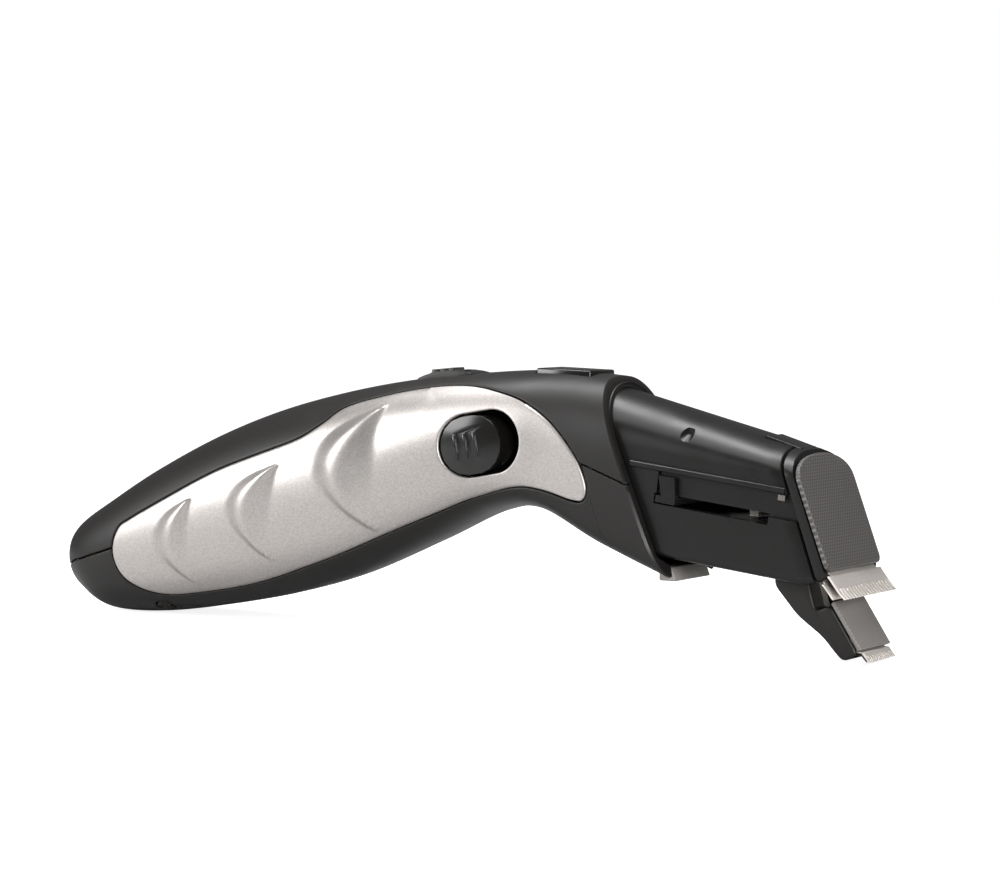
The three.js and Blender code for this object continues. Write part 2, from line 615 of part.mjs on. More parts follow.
// ---- Heel ----
const HEEL_PLATE = { halfWidth: 3.4, halfHeight: 2.1, depth: 1.2 };
const heelMiddle = gripPoint(0, 0);
function heelBox(extra, depth) {
  const [x, z] = heelMiddle;
  const h = HEEL_PLATE.halfHeight + extra;
  return sidePrism([[x, z - h], [x + depth, z - h], [x + depth, z + h], [x, z + h]],
    -HEEL_PLATE.halfWidth - extra, HEEL_PLATE.halfWidth + extra);
}
const CONTACT_Y = 2.1;
function heelPockets() {
  const [x, z] = heelMiddle;
  let cut = heelBox(GAP, HEEL_PLATE.depth + GAP).translate([-0.01, 0, 0]);
  for (const y of [-CONTACT_Y, CONTACT_Y])
    cut = cut.add(rod([x, y, z], [x + 14, y, z], 0.8 + GAP, undefined, 10));
  return cut;
}
function buildHeel() {
  const [x, z] = heelMiddle;
  let plate = heelBox(0, HEEL_PLATE.depth);
  ["left", "right"].forEach((side, i) => {
    const y = i ? CONTACT_Y : -CONTACT_Y;
    plate = plate.subtract(rod([x - 1, y, z], [x + 2, y, z], 0.8 + GAP, undefined, 10));
    addPiece(`charge_contact_${side}`, rod([x + 0.1, y, z], [x + 13, y, z], 0.8, 0.8, 10), BRASS);
  });
  addPiece("heel_plate", plate, GLOSS_BLACK);
}

// ---- Battery ----
function buildBattery() {
  const at = (along) => [batteryFrame(along, 0)[0], 0, batteryFrame(along, 0)[1]];
  const half = CELL_LENGTH / 2;
  const cell = rod(at(-half), at(half - 1), CELL_RADIUS, CELL_RADIUS, 20)
    .add(rod(at(half - 1.5), at(half), 2, 2, 12));
  addPiece("battery_cell", cell, CELL_SLEEVE);
  const strip = (from) => frameBox(batteryFrame, from, -3.5, from + CONTACT_SHEET, 3.5, -3, 3);
  addPiece("battery_contact_rear", strip(-half - GAP - CONTACT_SHEET), BRASS);
  addPiece("battery_contact_front", strip(half + GAP), BRASS);
}

// ---- Head housing ----
const TROUGH = { halfWidth: TRIMMER_HALF_WIDTH + 0.45, wall: 1, roof: 6.3, reach: 24.2, front: 3.4 };
const RAIL = { length: HEAD_REACH - 16.3, thick: 1.1, proud: 0.6 };
const railFront = plus(plateFoot, -8.85, 13.49);
const railRear = sideFrame(railFront, RAIL_SLOPE)(-RAIL.length, 0);
const railFrame = sideFrame(railRear, RAIL_SLOPE);
const GROOVE = { from: 5.8, depth: 0.9, height: 4.6 };
const SLOT = { from: 9.4, to: RAIL.length - 2.8, top: -4.3, height: 2 };
const GROOVE_FLOOR = 10.75 - GROOVE.depth; // |Y| of the groove's floor
const outerHalfWidth = (share) => HEAD_REAR_HALF_WIDTH + (HEAD_HALF_WIDTH - HEAD_REAR_HALF_WIDTH) * share;

function bothSides(make) {
  return make(1).add(make(-1));
}
// A slab across one side of the head between two distances from the middle.
function sideSlab(frame, a0, b0, a1, b1, near, far, side) {
  return frameBox(frame, a0, b0, a1, b1, side > 0 ? near : -far, side > 0 ? far : -near);
}

function troughBox(extra) {
  const [x, z] = HINGE;
  const { halfWidth, roof, reach, front } = TROUGH;
  return sidePrism(
    [[x - reach - extra, z - 12], [x + front + extra, z - 12], [x + front + extra, z + 0.5],
      [x + 0.2 + extra, z + roof + extra], [x - reach - extra, z + roof + extra]],
    -halfWidth - extra,
    halfWidth + extra,
  );
}

const CATCH = { along: RAIL.length - 1.4, length: 1.4, thick: 1 };
function catchBox(side, extra) {
  const { along, length, thick } = CATCH;
  const face = outerHalfWidth(0.9);
  return sideSlab(railFrame, along - extra, -1.5 - extra, along + length + extra, -1.5 + thick + extra,
    face - GROOVE.depth + GAP - 2 * extra, face - 0.1 + 2 * extra, side);
}

function buildHousing() {
  const seam = SEAM_SHARE;
  const outer = headSolid([HEAD_ROOT, 0, 0.45, 0.84, seam], 0);
  const [from, to] = [motorFrame(-1, 0), motorFrame(MOTOR_LENGTH + 1, 0)];
  const motorRoom = rod([from[0], 0, from[1]], [to[0], 0, to[1]], MOTOR_RADIUS + GAP);
  const cavity = headSolid([-0.4, 0, 0.45, 0.84, 1], HEAD_WALL)
    .add(motorRoom)
    .subtract(troughBox(TROUGH.wall));
  let housing = outer.subtract(cavity).subtract(troughBox(0));
  const railFace = outerHalfWidth(0.5) + RAIL.proud;
  const rail = bothSides((side) =>
    sideSlab(railFrame, 0, -0.2, RAIL.length, -0.2 + RAIL.thick, 8, railFace, side));
  housing = housing.add(rail.intersect(headSolid([0, 0.45, 0.84, seam], -RAIL.proud)));
  const groove = bothSides((side) =>
    sideSlab(railFrame, GROOVE.from, -0.2 - GROOVE.height, 60, -0.2, GROOVE_FLOOR, 20, side));
  const slot = bothSides((side) =>
    sideSlab(railFrame, SLOT.from - 4, SLOT.top - SLOT.height, SLOT.to, SLOT.top, 5, 20, side));
  housing = housing.subtract(groove).subtract(slot);
  const dimple = plus(collarTop, 18.7, -9.3);
  housing = housing.subtract(bothSides((side) =>
    rod([dimple[0], side * 11, dimple[1]], [dimple[0], side * 8.2, dimple[1]], 2, 0.7, 12)));
  const pin = rod([HINGE[0], -12, HINGE[1]], [HINGE[0], 12, HINGE[1]], HINGE_PIN_RADIUS + GAP);
  const walls = HEAD_HALF_WIDTH - HEAD_WALL;
  housing = housing.subtract(pin.intersect(frameBox(sideFrame(HINGE, 0), -3, -3, 3, 3, -walls, walls)));
  housing = housing.subtract(latchTongue(GAP));
  for (const [side, name] of [[-1, "left"], [1, "right"]]) {
    housing = housing.subtract(catchBox(side, GAP));
    addPiece(`comb_catch_${name}`, catchBox(side, 0), STEEL);
  }
  addPiece("head_housing", largest(housing), HEAD_BLACK);
}

// ---- Removable blade head ----
const topLean = THREE.MathUtils.radToDeg(
  Math.atan2(plateTop[1] - HEAD_LINES[1][1][1], plateTop[0] - HEAD_LINES[1][1][0]),
);
const topFrame = sideFrame(headLine(SEAM_SHARE).top, topLean);
const TONGUE = { length: 5.6, half: 3.2, thick: 1 };
const latchTongue = (extra) =>
  frameBox(topFrame, -TONGUE.length - extra, -TONGUE.thick - extra, 2, extra ? 3 : 0,
    -TONGUE.half - extra, TONGUE.half + extra);

const BLADE_ROOT_HALF_WIDTH = BLADE_HALF_WIDTH - 1.4; // inside the cap
// A sheet as narrow as the cap's inside, which widens below a line.
const stepped = (points, halfWidth, from) =>
  sidePrism(points, -halfWidth, halfWidth)
    .intersect(frameBox(plateFrame, from, -20, 20, 20, -halfWidth, halfWidth))
    .add(sidePrism(points, -BLADE_ROOT_HALF_WIDTH, BLADE_ROOT_HALF_WIDTH));

const BLADE_FRONT = [[-5, -1.35], [-0.25, -1.35], [0.9, -0.5], [4.3, 0.55], [5.7, 1.25]];
// A sheet profile in the faceplate's frame: the front line and a copy of it set back.
function sheet(front, setBack, thick) {
  const near = front.map(([down, out]) => [down, out - setBack]);
  const far = front.map(([down, out]) => [down, out - setBack - thick]).reverse();
  return onPlate([...near, ...far]);
}

function comb(body, frame, count, pitch, gap, from, to, offset = 0) {
  let cuts = null;
  for (let i = 0; i < count; i++) {
    const y = (i - (count - 1) / 2) * pitch + offset;
    const cut = frameBox(frame, from, -6, to, 6, y - gap / 2, y + gap / 2);
    cuts = cuts ? cuts.add(cut) : cut;
  }
  return body.subtract(cuts);
}

function buildBladeHead() {
  const behind = frameBox(plateFrame, -40, -20, 20, -FACEPLATE_THICKNESS - GAP, -20, 20);
  const shell = headSolid([SEAM_SHARE + GAP / 26, 0.93, 1], 0).intersect(behind)
    .subtract(headSolid([0.84, 0.93, 1.1], 1.6))
    .add(latchTongue(0))
    .subtract(bladeBay());
  addPiece("blade_cap", largest(shell), HEAD_BLACK);

  const front = frameBox(plateFrame, -40, -FACEPLATE_THICKNESS, 0, 5, -20, 20);
  addPiece("faceplate", headSolid([0.84, 0.93, 1], 0).intersect(front), PLATE_GREY);

  const fixed = stepped(sheet(BLADE_FRONT, 0, BLADE_SHEET), BLADE_HALF_WIDTH, 0.8);
  addPiece("fixed_blade", comb(fixed, plateFrame, TOOTH_GAPS, TOOTH_PITCH, TOOTH_GAP, 3.4, 9), STEEL);
  const travel = BLADE_ROOT_HALF_WIDTH - BLADE_STROKE;
  const movingFront = [[YOKE.top, -1.35], ...BLADE_FRONT.slice(1, 4)];
  const moving = sidePrism(sheet(movingFront, BLADE_SHEET + GAP, BLADE_SHEET), -travel, travel);
  addPiece("moving_blade", comb(moving, plateFrame, TOOTH_GAPS - 4, TOOTH_PITCH, TOOTH_GAP, 2.6, 9), STEEL);
  const spring = [[-1.4, -1.35], [0.4, -1.1], [2.6, -0.2], [5, 0.55]];
  const springHalf = BLADE_HALF_WIDTH - 0.25;
  addPiece("blade_spring", stepped(sheet(spring, 2 * BLADE_SHEET + 3 * GAP, 0.3), springHalf, 1.8), STEEL);

  // The yoke takes the rocker's finger in a slot that is open to the rear.
  const { top, foot, back } = YOKE;
  const fingerRoom = FINGER.half + GAP;
  const yoke = frameBox(plateFrame, top, back, foot, -2 * BLADE_SHEET - 2 * GAP - 1.35, -3, 3)
    .subtract(frameBox(plateFrame, top - 1, -8, foot - 0.8, back + 0.9, -fingerRoom, fingerRoom));
  addPiece("blade_yoke", yoke, NYLON);
}

const YOKE = { top: -8, foot: -4.8, back: -4.2 };
// Room for the blades at the foot of the blade head, behind the faceplate.
const bladeBay = () => frameBox(plateFrame, -8.6, -3.9, 9, 3,
  -BLADE_ROOT_HALF_WIDTH - GAP, BLADE_ROOT_HALF_WIDTH + GAP);

// ---- Drive ----
const FINGER = { half: 0.8, top: -13.5, back: -4.5 };
const PIVOT = {
  rear: MOTOR_LENGTH + 5,
  front: MOTOR_LENGTH + 14.4,
  out: -2.8 - MOTOR_RADIUS / 2,
  radius: 0.7,
};
function buildDrive() {
  const at = (along, y = 0, out = 0) => {
    const [x, z] = motorFrame(along, out);
    return [x, y, z];
  };
  const hub = rod(at(MOTOR_LENGTH - 0.5), at(MOTOR_LENGTH + 1.2), 2, 2, 12);
  const can = rod(at(0), at(MOTOR_LENGTH), MOTOR_RADIUS, MOTOR_RADIUS, 20).add(hub)
    .subtract(rod(at(MOTOR_LENGTH - 4), at(MOTOR_LENGTH + 2), 0.6 + GAP, undefined, 10));
  addPiece("motor", can, STEEL);
  const [pinFoot, pinTop] = [at(MOTOR_LENGTH + 3.5, CAM_THROW), at(MOTOR_LENGTH + 8, CAM_THROW)];
  const camPin = rod(pinFoot, pinTop, CAM_PIN_RADIUS, undefined, 10);
  const cam = rod(at(MOTOR_LENGTH - 3), at(MOTOR_LENGTH + 2), 0.6, 0.6, 10)
    .add(rod(at(MOTOR_LENGTH + 1.7), at(MOTOR_LENGTH + 4), 2.2, 2.2, 14))
    .add(camPin);
  addPiece("motor_cam", cam, BRASS);
  const { foot, half } = CRADLE;
  const cradle = frameBox(motorFrame, 3, -foot, MOTOR_LENGTH - 4, 2.5, -half, half)
    .subtract(rod(at(0), at(MOTOR_LENGTH + 1), MOTOR_RADIUS + GAP, undefined, 24));
  addPiece("motor_cradle", cradle, NYLON);

  // Rocker: a fork around the cam pin, a tube on the rocker pin, and a finger down to the yoke.
  const fork = 2 * CAM_THROW + CAM_PIN_RADIUS + GAP;
  const { rear, front, out, radius } = PIVOT;
  const rocker = frameBox(motorFrame, rear, out + 1, rear + 2, 2.4, -fork - 1, fork + 1)
    .subtract(frameBox(motorFrame, rear - 1, out + 2.6, rear + 3, 5, -fork, fork))
    .add(rod(at(rear, 0, out), at(front, 0, out), 1.6, 1.6, 14))
    .add(frameBox(plateFrame, FINGER.top, FINGER.back, YOKE.foot - 1.1, YOKE.back + 0.9 - GAP,
      -FINGER.half, FINGER.half))
    .subtract(rod(at(rear - 1, 0, out), at(front + 1, 0, out), radius + 0.2, undefined, 12));
  addPiece("drive_rocker", largest(rocker), NYLON);
  addPiece("rocker_pin", rod(at(rear - 2.6, 0, out), at(front + 0.8, 0, out), radius, radius, 12), STEEL);
  const roof = HINGE[1] + TROUGH.roof + TROUGH.wall + GAP;
  const top = at(rear - 1.5, 0, out)[2] + 1.9;
  const [bx] = at(rear - 1.5, 0, out);
  const bracket = frameBox(sideFrame([bx, 0], 0), -0.9, roof, 0.9, top, -3, 3)
    .subtract(rod(at(rear - 5, 0, out), at(rear, 0, out), radius + 0.15, undefined, 12));
  addPiece("rocker_bracket", bracket, NYLON);
}

// Two leads from the circuit board to the motor.
function buildLeads(board) {
  const [bx, bz] = switchFrame(9, 0);
  const [mx, mz] = motorFrame(0, 0);
  for (const [name, side, finish_] of [["red", 1, LEAD_RED], ["black", -1, LEAD_BLACK]]) {
    const start = new THREE.Vector3(bx + GAP + 0.6, board + 0.6, bz - 2 + side * 1.2);
    const end = new THREE.Vector3(mx - GAP - 0.5, side * 2, mz + 0.5);
    const mid = start.clone().lerp(end, 0.45).add(new THREE.Vector3(0, -0.5, -0.8));
    addPiece(`motor_lead_${name}`, tube([start, mid, end], 0.45, 12, 6), finish_);
  }
}

// ---- Comb carriage ----
// Pegs through both slots, joined by a bar that passes under the motor's cradle.
const CARRIAGE = { length: 4.2, bar: 1.3, under: 0.4 };
function buildCarriage() {
  const inside = HEAD_REAR_HALF_WIDTH - HEAD_WALL - GAP;
  const from = SLOT.from - 3.6;
  const to = from + CARRIAGE.length;
  const low = SLOT.top - SLOT.height + 0.35;
  const high = SLOT.top - 0.35;
  const drop = (motorFrame(0, 0)[1] - railFrame(0, 0)[1]) / Math.cos(rad(RAIL_SLOPE)) - CRADLE.foot;
  const roof = Math.min(drop - CARRIAGE.under, high);
  let carriage = frameBox(railFrame, from, roof - CARRIAGE.bar, to, roof, -inside, inside);
  const tab = [railFrame(from + GAP, -1), railFrame(from + 3.6, -1), railFrame(to, high),
    railFrame(to, low), railFrame(from + 1.6, low)];
  const across = (side, near, far) => (side > 0 ? [near, far] : [-far, -near]);
  for (const side of [-1, 1]) {
    const tabFace = across(side, GROOVE_FLOOR + GAP, 10.9);
    const foot = roof - CARRIAGE.bar;
    const leg = frameBox(railFrame, from, foot, to, high, ...across(side, inside - 1.3, inside));
    const peg = frameBox(railFrame, from, low, to, high, ...across(side, inside - 1.3, 10.6));
    carriage = carriage.add(sidePrism(tab, ...tabFace)).add(leg).add(peg);
  }
  addPiece("comb_carriage", carriage, HEAD_BLACK);
}

// ---- Detail trimmer ----
const trimTop = plus(HINGE, 8.2, -6.7); // top of its faceplate
const trimFoot = plus(HINGE, 13.6, -15);
const trimLean = THREE.MathUtils.radToDeg(
  Math.atan2(trimFoot[1] - trimTop[1], trimFoot[0] - trimTop[0]),
);
const trimFrame = sideFrame(trimFoot, trimLean);
const TRIM_PLATE = { thick: 0.8, length: apart(trimTop, trimFoot) };
function buildDetailTrimmer() {
  const face = -TRIM_PLATE.thick - GAP;
  const width = TRIMMER_HALF_WIDTH;
  const outline = [plus(HINGE, -2.6, 0), plus(HINGE, -4.1, -4.1), plus(HINGE, 0.8, -9.7),
    plus(HINGE, 5.8, -13.2), plus(HINGE, 9.3, -17), plus(HINGE, 10.4, -17.3),
    plus(HINGE, 12.2, -16.4), trimFrame(0, face), trimFrame(-TRIM_PLATE.length, face),
    plus(HINGE, 4.5, -8.8), plus(HINGE, 3.2, -4), plus(HINGE, 2.6, 0)];
  const onHinge = (y0, y1, radius) =>
    rod([HINGE[0], y0, HINGE[1]], [HINGE[0], y1, HINGE[1]], radius);
  const channel = sidePrism(
    [plus(HINGE, 0.6, -2.4), plus(HINGE, 2.6, -9.4), plus(HINGE, 9.2, -15.2), trimFrame(2, -2.2),
      trimFrame(4, 1), trimFrame(-9, 1), trimFrame(-9, -2.2), plus(HINGE, 2.6, -2.4)],
    -2.1,
    2.1,
  );
  const arm = sidePrism(outline, -width, width)
    .add(onHinge(-width, width, 2.6))
    .subtract(onHinge(-12, 12, HINGE_PIN_RADIUS + 0.2))
    .subtract(onHinge(2.6, width + 0.75, 3.2))
    .subtract(channel)
    .subtract(frameBox(trimFrame, -3.4, -2.7, 5, 1, -width + 0.5, width - 0.5));
  addPiece("detail_arm", largest(arm), SHELL_BLACK);
  const { length, thick } = TRIM_PLATE;
  const plate = frameBox(trimFrame, -length, -thick, 0, 0, -width, width);
  addPiece("detail_faceplate", plate, PLATE_GREY);

  const blade = width - 0.8;
  const edge = (points) => points.map(([down, out]) => trimFrame(down, out));
  const fixedLine = edge([[-3, -1.5], [0, -1.5], [0.45, -0.7], [2.6, -0.45], [2.6, -0.1],
    [0.55, -0.3], [-0.1, -1.15], [-3, -1.15]]);
  const teeth = (line, reach, gaps, from) =>
    comb(sidePrism(line, -reach, reach), trimFrame, gaps, TRIMMER_TOOTH_PITCH, 0.35, from, 4);
  addPiece("detail_fixed_blade", teeth(fixedLine, blade, TRIMMER_TOOTH_GAPS, 1.3), STEEL);
  const half = blade - BLADE_STROKE - 0.1;
  const movingLine = edge([[-3, -2.2], [0.2, -2.2], [0.8, -1.35], [2.2, -1.1], [2.2, -0.75],
    [0.7, -1], [0.1, -1.8], [-3, -1.8]]);
  addPiece("detail_moving_blade", teeth(movingLine, half, TRIMMER_TOOTH_GAPS - 2, 1.2), STEEL);
  const lever = sidePrism(
    [plus(HINGE, 1.2, -2.9), plus(HINGE, 3.2, -9), trimFrame(-3.4, -3.8), trimFrame(-1, -3.4),
      trimFrame(-1, -2.5), trimFrame(-5, -2.5), plus(HINGE, 4, -8.4), plus(HINGE, 2.2, -2.9)],
    -0.9,
    0.9,
  );
  addPiece("detail_lever", lever.intersect(channel), NYLON);
  const reach = HEAD_HALF_WIDTH - HEAD_WALL - 0.4;
  addPiece("detail_pin", onHinge(-reach, reach, HINGE_PIN_RADIUS), STEEL);
  const spring = coil([HINGE[0], 3, HINGE[1]], 1.75, 0.22, width - 3.35, 4, "y");
  addPiece("detail_spring", spring, STEEL);
}

// ---- Release button of the detail trimmer ----
const RELEASE = { half: 6.8, height: 2.4, depth: 3.6 };
function releaseBlock(extra, up) {
  const [x, z] = collarFoot;
  const { half, height, depth } = RELEASE;
  const tilt = (collarTop[0] - collarFoot[0]) / (collarTop[1] - collarFoot[1]);
  const front = (h) => x + h * tilt - 0.05;
  const [low, high] = [z - 0.2 - extra, z + height + up + extra];
  const ahead = extra ? 3 : 0;
  return sidePrism(
    [[x - depth - extra, low], [front(-0.2) + ahead, low], [front(height + up) + ahead, high],
      [x - depth - extra, high]],
    -half - extra,
    half + extra,
  );
}
const releaseHole = () => releaseBlock(GAP, RELEASE_TRAVEL);
function buildRelease() {
  addPiece("trimmer_release", releaseBlock(0, 0), BUTTON_GREY);
}

buildShells();
buildPanels();
const { board } = buildPowerSwitch();
buildSpineControls();
buildHeel();
buildBattery();
buildHousing();
buildBladeHead();
buildDrive();
buildLeads(board);
buildCarriage();
buildDetailTrimmer();
buildRelease();

// The part's origin is the middle of its footprint, at table height.
const bounds = new THREE.Box3().setFromObject(root);
const middle = bounds.getCenter(new THREE.Vector3());
root.children.forEach((mesh) => mesh.geometry.translate(-middle.x, 0, -bounds.min.z));

export default root;
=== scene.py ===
"""Cordless body trimmer: fine surfaces, finishes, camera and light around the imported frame.

Sizes are millimetres in the frame's own axes: +X towards the blades, +Y across, +Z up.
"side plane" means the plane of X and Z. Each mesh is written in metres, with its object at the origin.
"""

import logging
import math
from contextlib import contextmanager
from dataclasses import dataclass
from enum import Enum
from typing import Iterator, Sequence

import bmesh
import bpy
import numpy as np
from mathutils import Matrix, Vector


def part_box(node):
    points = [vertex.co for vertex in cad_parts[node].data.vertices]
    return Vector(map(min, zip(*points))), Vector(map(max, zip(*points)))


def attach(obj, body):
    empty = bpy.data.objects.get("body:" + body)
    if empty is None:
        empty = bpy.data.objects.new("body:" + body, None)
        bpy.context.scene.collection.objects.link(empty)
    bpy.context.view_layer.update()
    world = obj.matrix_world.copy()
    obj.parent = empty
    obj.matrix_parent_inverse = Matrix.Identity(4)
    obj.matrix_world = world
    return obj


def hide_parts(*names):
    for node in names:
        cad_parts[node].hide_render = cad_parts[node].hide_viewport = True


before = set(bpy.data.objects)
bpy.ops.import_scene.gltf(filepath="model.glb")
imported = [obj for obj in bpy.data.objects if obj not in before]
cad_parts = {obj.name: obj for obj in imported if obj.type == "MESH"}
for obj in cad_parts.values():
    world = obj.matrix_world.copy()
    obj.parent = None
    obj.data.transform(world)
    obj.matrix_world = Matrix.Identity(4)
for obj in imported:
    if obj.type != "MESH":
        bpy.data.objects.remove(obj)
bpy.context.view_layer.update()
MM = 0.001
DOUBLES = 2e-6  # vertices closer than this, in metres, are one
COLLAR = 12.0  # the grip's last station
log = logging.getLogger("trimmer")


class Body(Enum):
    """The moving bodies that the pieces ride on."""

    HANDLE = "handle"
    SLIDER = "power_slider"
    KNOB = "setting_knob"
    LOCK = "comb_lock"
    RELEASE = "trimmer_release"
    BLADE_HEAD = "blade_head"
    DETAIL = "detail_trimmer"


# ---- Side plane -------------------------------------------------------------------------------


def node_box(node: str) -> tuple[np.ndarray, np.ndarray]:
    """Lowest and highest corner of a CAD node, in mm."""
    low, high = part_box(node)
    return np.array(low) / MM, np.array(high) / MM


@dataclass(frozen=True)
class SideFrame:
    """A turned frame in the side plane.

    Args:
        x, z: its origin.
        degrees: the slope of its "along" axis.
    """

    x: float
    z: float
    degrees: float

    def at(self, along: np.ndarray | float, out: np.ndarray | float) -> np.ndarray:
        """Side-plane points: origin plus along and out, turned by the slope.

        Args:
            along, out: distances in mm, one of which may be a single number.

        Returns:
            The points' X and Z.
        """
        c, s = math.cos(math.radians(self.degrees)), math.sin(math.radians(self.degrees))
        along, out = np.broadcast_arrays(np.asarray(along, float), np.asarray(out, float))
        return np.stack([self.x + along * c - out * s, self.z + along * s + out * c], -1)

    def box(self, a0: float, b0: float, a1: float, b1: float) -> np.ndarray:
        """The four corners from (a0, b0) to (a1, b1), counter-clockwise."""
        return self.at([a0, a1, a1, a0], [b0, b0, b1, b1])

    def local(self, points: np.ndarray) -> tuple[np.ndarray, np.ndarray]:
        """How far points lie along this frame and out of it, which is "at" the other way round.

        Args:
            points: side-plane points in mm.

        Returns:
            The distances along, and the distances out.
        """
        c, s = math.cos(math.radians(self.degrees)), math.sin(math.radians(self.degrees))
        away = points - np.array([self.x, self.z])
        return away @ np.array([c, s]), away @ np.array([-s, c])


def signed_area(points: np.ndarray) -> float:
    """Area of a closed side-plane outline, positive when counter-clockwise."""
    x, z = points[:, 0], points[:, 1]
    return 0.5 * float(np.sum(x * np.roll(z, -1) - np.roll(x, -1) * z))


def fillet(points: Sequence[Sequence[float]], radius: float, steps: int = 5) -> np.ndarray:
    """Rounds each corner of an outline by a quadratic curve that starts "radius" before it.

    The curve is (1-u)^2 of the point before, 2u(1-u) of the corner and u^2 of the point after.

    Args:
        points: corners of a closed outline, in mm.
        radius: how far from a corner its curve starts.
        steps: points on each curve.

    Returns:
        The rounded outline.
    """
    p = np.asarray(points, float)
    before, after = np.roll(p, 1, 0) - p, np.roll(p, -1, 0) - p
    reach_a = np.minimum(radius, 0.45 * np.linalg.norm(before, axis=1))[:, None]
    reach_b = np.minimum(radius, 0.45 * np.linalg.norm(after, axis=1))[:, None]
    start = p + before / np.linalg.norm(before, axis=1)[:, None] * reach_a
    end = p + after / np.linalg.norm(after, axis=1)[:, None] * reach_b
    u = np.linspace(0, 1, steps)[None, :, None]
    curve = (1 - u) ** 2 * start[:, None] + 2 * u * (1 - u) * p[:, None] + u**2 * end[:, None]
    return curve.reshape(-1, 2)


def slope(start: Sequence[float], end: Sequence[float]) -> float:
    """Slope in degrees of the side-plane line from start to end."""
    return math.degrees(math.atan2(end[1] - start[1], end[0] - start[0]))


def spline(points: Sequence[Sequence[float]], steps: int) -> np.ndarray:
    """A closed Catmull-Rom curve through the points.

    Between b and c, with a before them and d after, the curve is half of
    2b + (c - a) f + (2a - 5b + 4c - d) f^2 + (3b - a - 3c + d) f^3, as f runs from 0 to 1.

    Args:
        points: the points that the curve passes through.
        steps: samples between each two of them.

    Returns:
        The curve's points, without the first one again at the end.
    """
    p = np.asarray(points, float)
    f = (np.arange(steps) / steps)[None, :, None]
    a, b, c, d = (q[:, None] for q in (np.roll(p, 1, 0), p, np.roll(p, -1, 0), np.roll(p, -2, 0)))
    cubic = 2 * b + (c - a) * f + (2 * a - 5 * b + 4 * c - d) * f**2 + (3 * b - a - 3 * c + d) * f**3
    return 0.5 * cubic.reshape(-1, p.shape[1])


def moved_out(points: np.ndarray, distance: float) -> np.ndarray:
    """A closed outline moved outwards along its own normals.

    Args:
        points: the outline.
        distance: in mm, and inwards where it is negative.

    Returns:
        The moved outline.
    """
    along = np.roll(points, -1, 0) - np.roll(points, 1, 0)
    along /= np.maximum(np.linalg.norm(along, axis=1), 1e-9)[:, None]
    turn = 1.0 if signed_area(points) > 0 else -1.0
    return points + turn * distance * np.stack([along[:, 1], -along[:, 0]], -1)


# ---- Meshes -----------------------------------------------------------------------------------


def grid_faces(rows: int, columns: int, wrap: bool = False, first: int = 0) -> np.ndarray:
    """Quads of a grid whose vertex (r, c) has the index first + r * columns + c.

    Args:
        rows, columns: of the grid's vertices.
        wrap: whether the last column meets the first.
        first: number of the first vertex.

    Returns:
        Four vertex numbers for each face.
    """
    r = np.arange(rows - 1)[:, None]
    c = np.arange(columns if wrap else columns - 1)[None, :]
    a = first + r * columns + c
    b = first + r * columns + (c + 1) % columns
    return np.stack([a, b, b + columns, a + columns], -1).reshape(-1, 4)


@contextmanager
def editing(mesh: bpy.types.Mesh) -> Iterator[bmesh.types.BMesh]:
    """Opens a mesh for edits, and writes them back at the end of the block.

    Args:
        mesh: the mesh to edit.

    Yields:
        Its editable copy.
    """
    work = bmesh.new()
    work.from_mesh(mesh)
    yield work
    work.to_mesh(mesh)
    work.free()


def new_piece(name: str, points: np.ndarray, faces: Sequence[Sequence[int]]) -> bpy.types.Object:
    """A mesh object in the scene, with its doubled vertices merged and its flat faces dropped.

    Args:
        name: of the object and of its mesh.
        points: vertices in mm.
        faces: vertex numbers of each face.

    Returns:
        The object, at the origin.
    """
    mesh = bpy.data.meshes.new(name)
    mesh.from_pydata((np.asarray(points, float) * MM).tolist(), [], [list(map(int, f)) for f in faces])
    piece = bpy.data.objects.new(name, mesh)
    bpy.context.scene.collection.objects.link(piece)
    with editing(mesh) as work:
        bmesh.ops.remove_doubles(work, verts=work.verts, dist=DOUBLES)
        bmesh.ops.dissolve_degenerate(work, edges=work.edges, dist=1e-7)
    return piece


def trimmed(name: str, vertices: np.ndarray, faces: np.ndarray) -> bpy.types.Object:
    """A mesh of the faces, without the points that no face uses.

    Args:
        name: of the object.
        vertices: all points in mm.
        faces: quads, by vertex number.

    Returns:
        The object, with its faces turned the same way.
    """
    used, flat = np.unique(faces.reshape(-1), return_inverse=True)
    piece = new_piece(name, vertices[used], flat.reshape(-1, 4))
    with editing(piece.data) as work:
        bmesh.ops.recalc_face_normals(work, faces=work.faces)
    return piece


def closed_normals(piece: bpy.types.Object) -> None:
    """Turns the faces of a closed mesh outwards.

    Args:
        piece: the object with the mesh.
    """
    with editing(piece.data) as work:
        bmesh.ops.recalc_face_normals(work, faces=work.faces)
        if work.calc_volume(signed=True) < 0:
            bmesh.ops.reverse_faces(work, faces=work.faces)


def face_away(piece: bpy.types.Object, axis_points: np.ndarray) -> None:
    """Turns an open skin's faces away from the nearest point of an axis, by majority.

    Args:
        piece: the object with the skin.
        axis_points: points along the axis, in mm.
    """
    mesh = piece.data
    centre = np.zeros(len(mesh.polygons) * 3)
    normal = np.zeros(len(mesh.polygons) * 3)
    mesh.polygons.foreach_get("center", centre)
    mesh.polygons.foreach_get("normal", normal)
    centre, normal = centre.reshape(-1, 3), normal.reshape(-1, 3)
    nearest = np.argmin(np.linalg.norm(centre[:, None] - axis_points[None] * MM, axis=2), axis=1)
    away = np.sum(normal * (centre - axis_points[nearest] * MM), axis=1)
    if np.sum(away > 0) < len(away) / 2:
        mesh.flip_normals()


class Solid(Enum):
    """What another solid does to a piece."""

    CUTS = "DIFFERENCE"
    GROWS = "UNION"


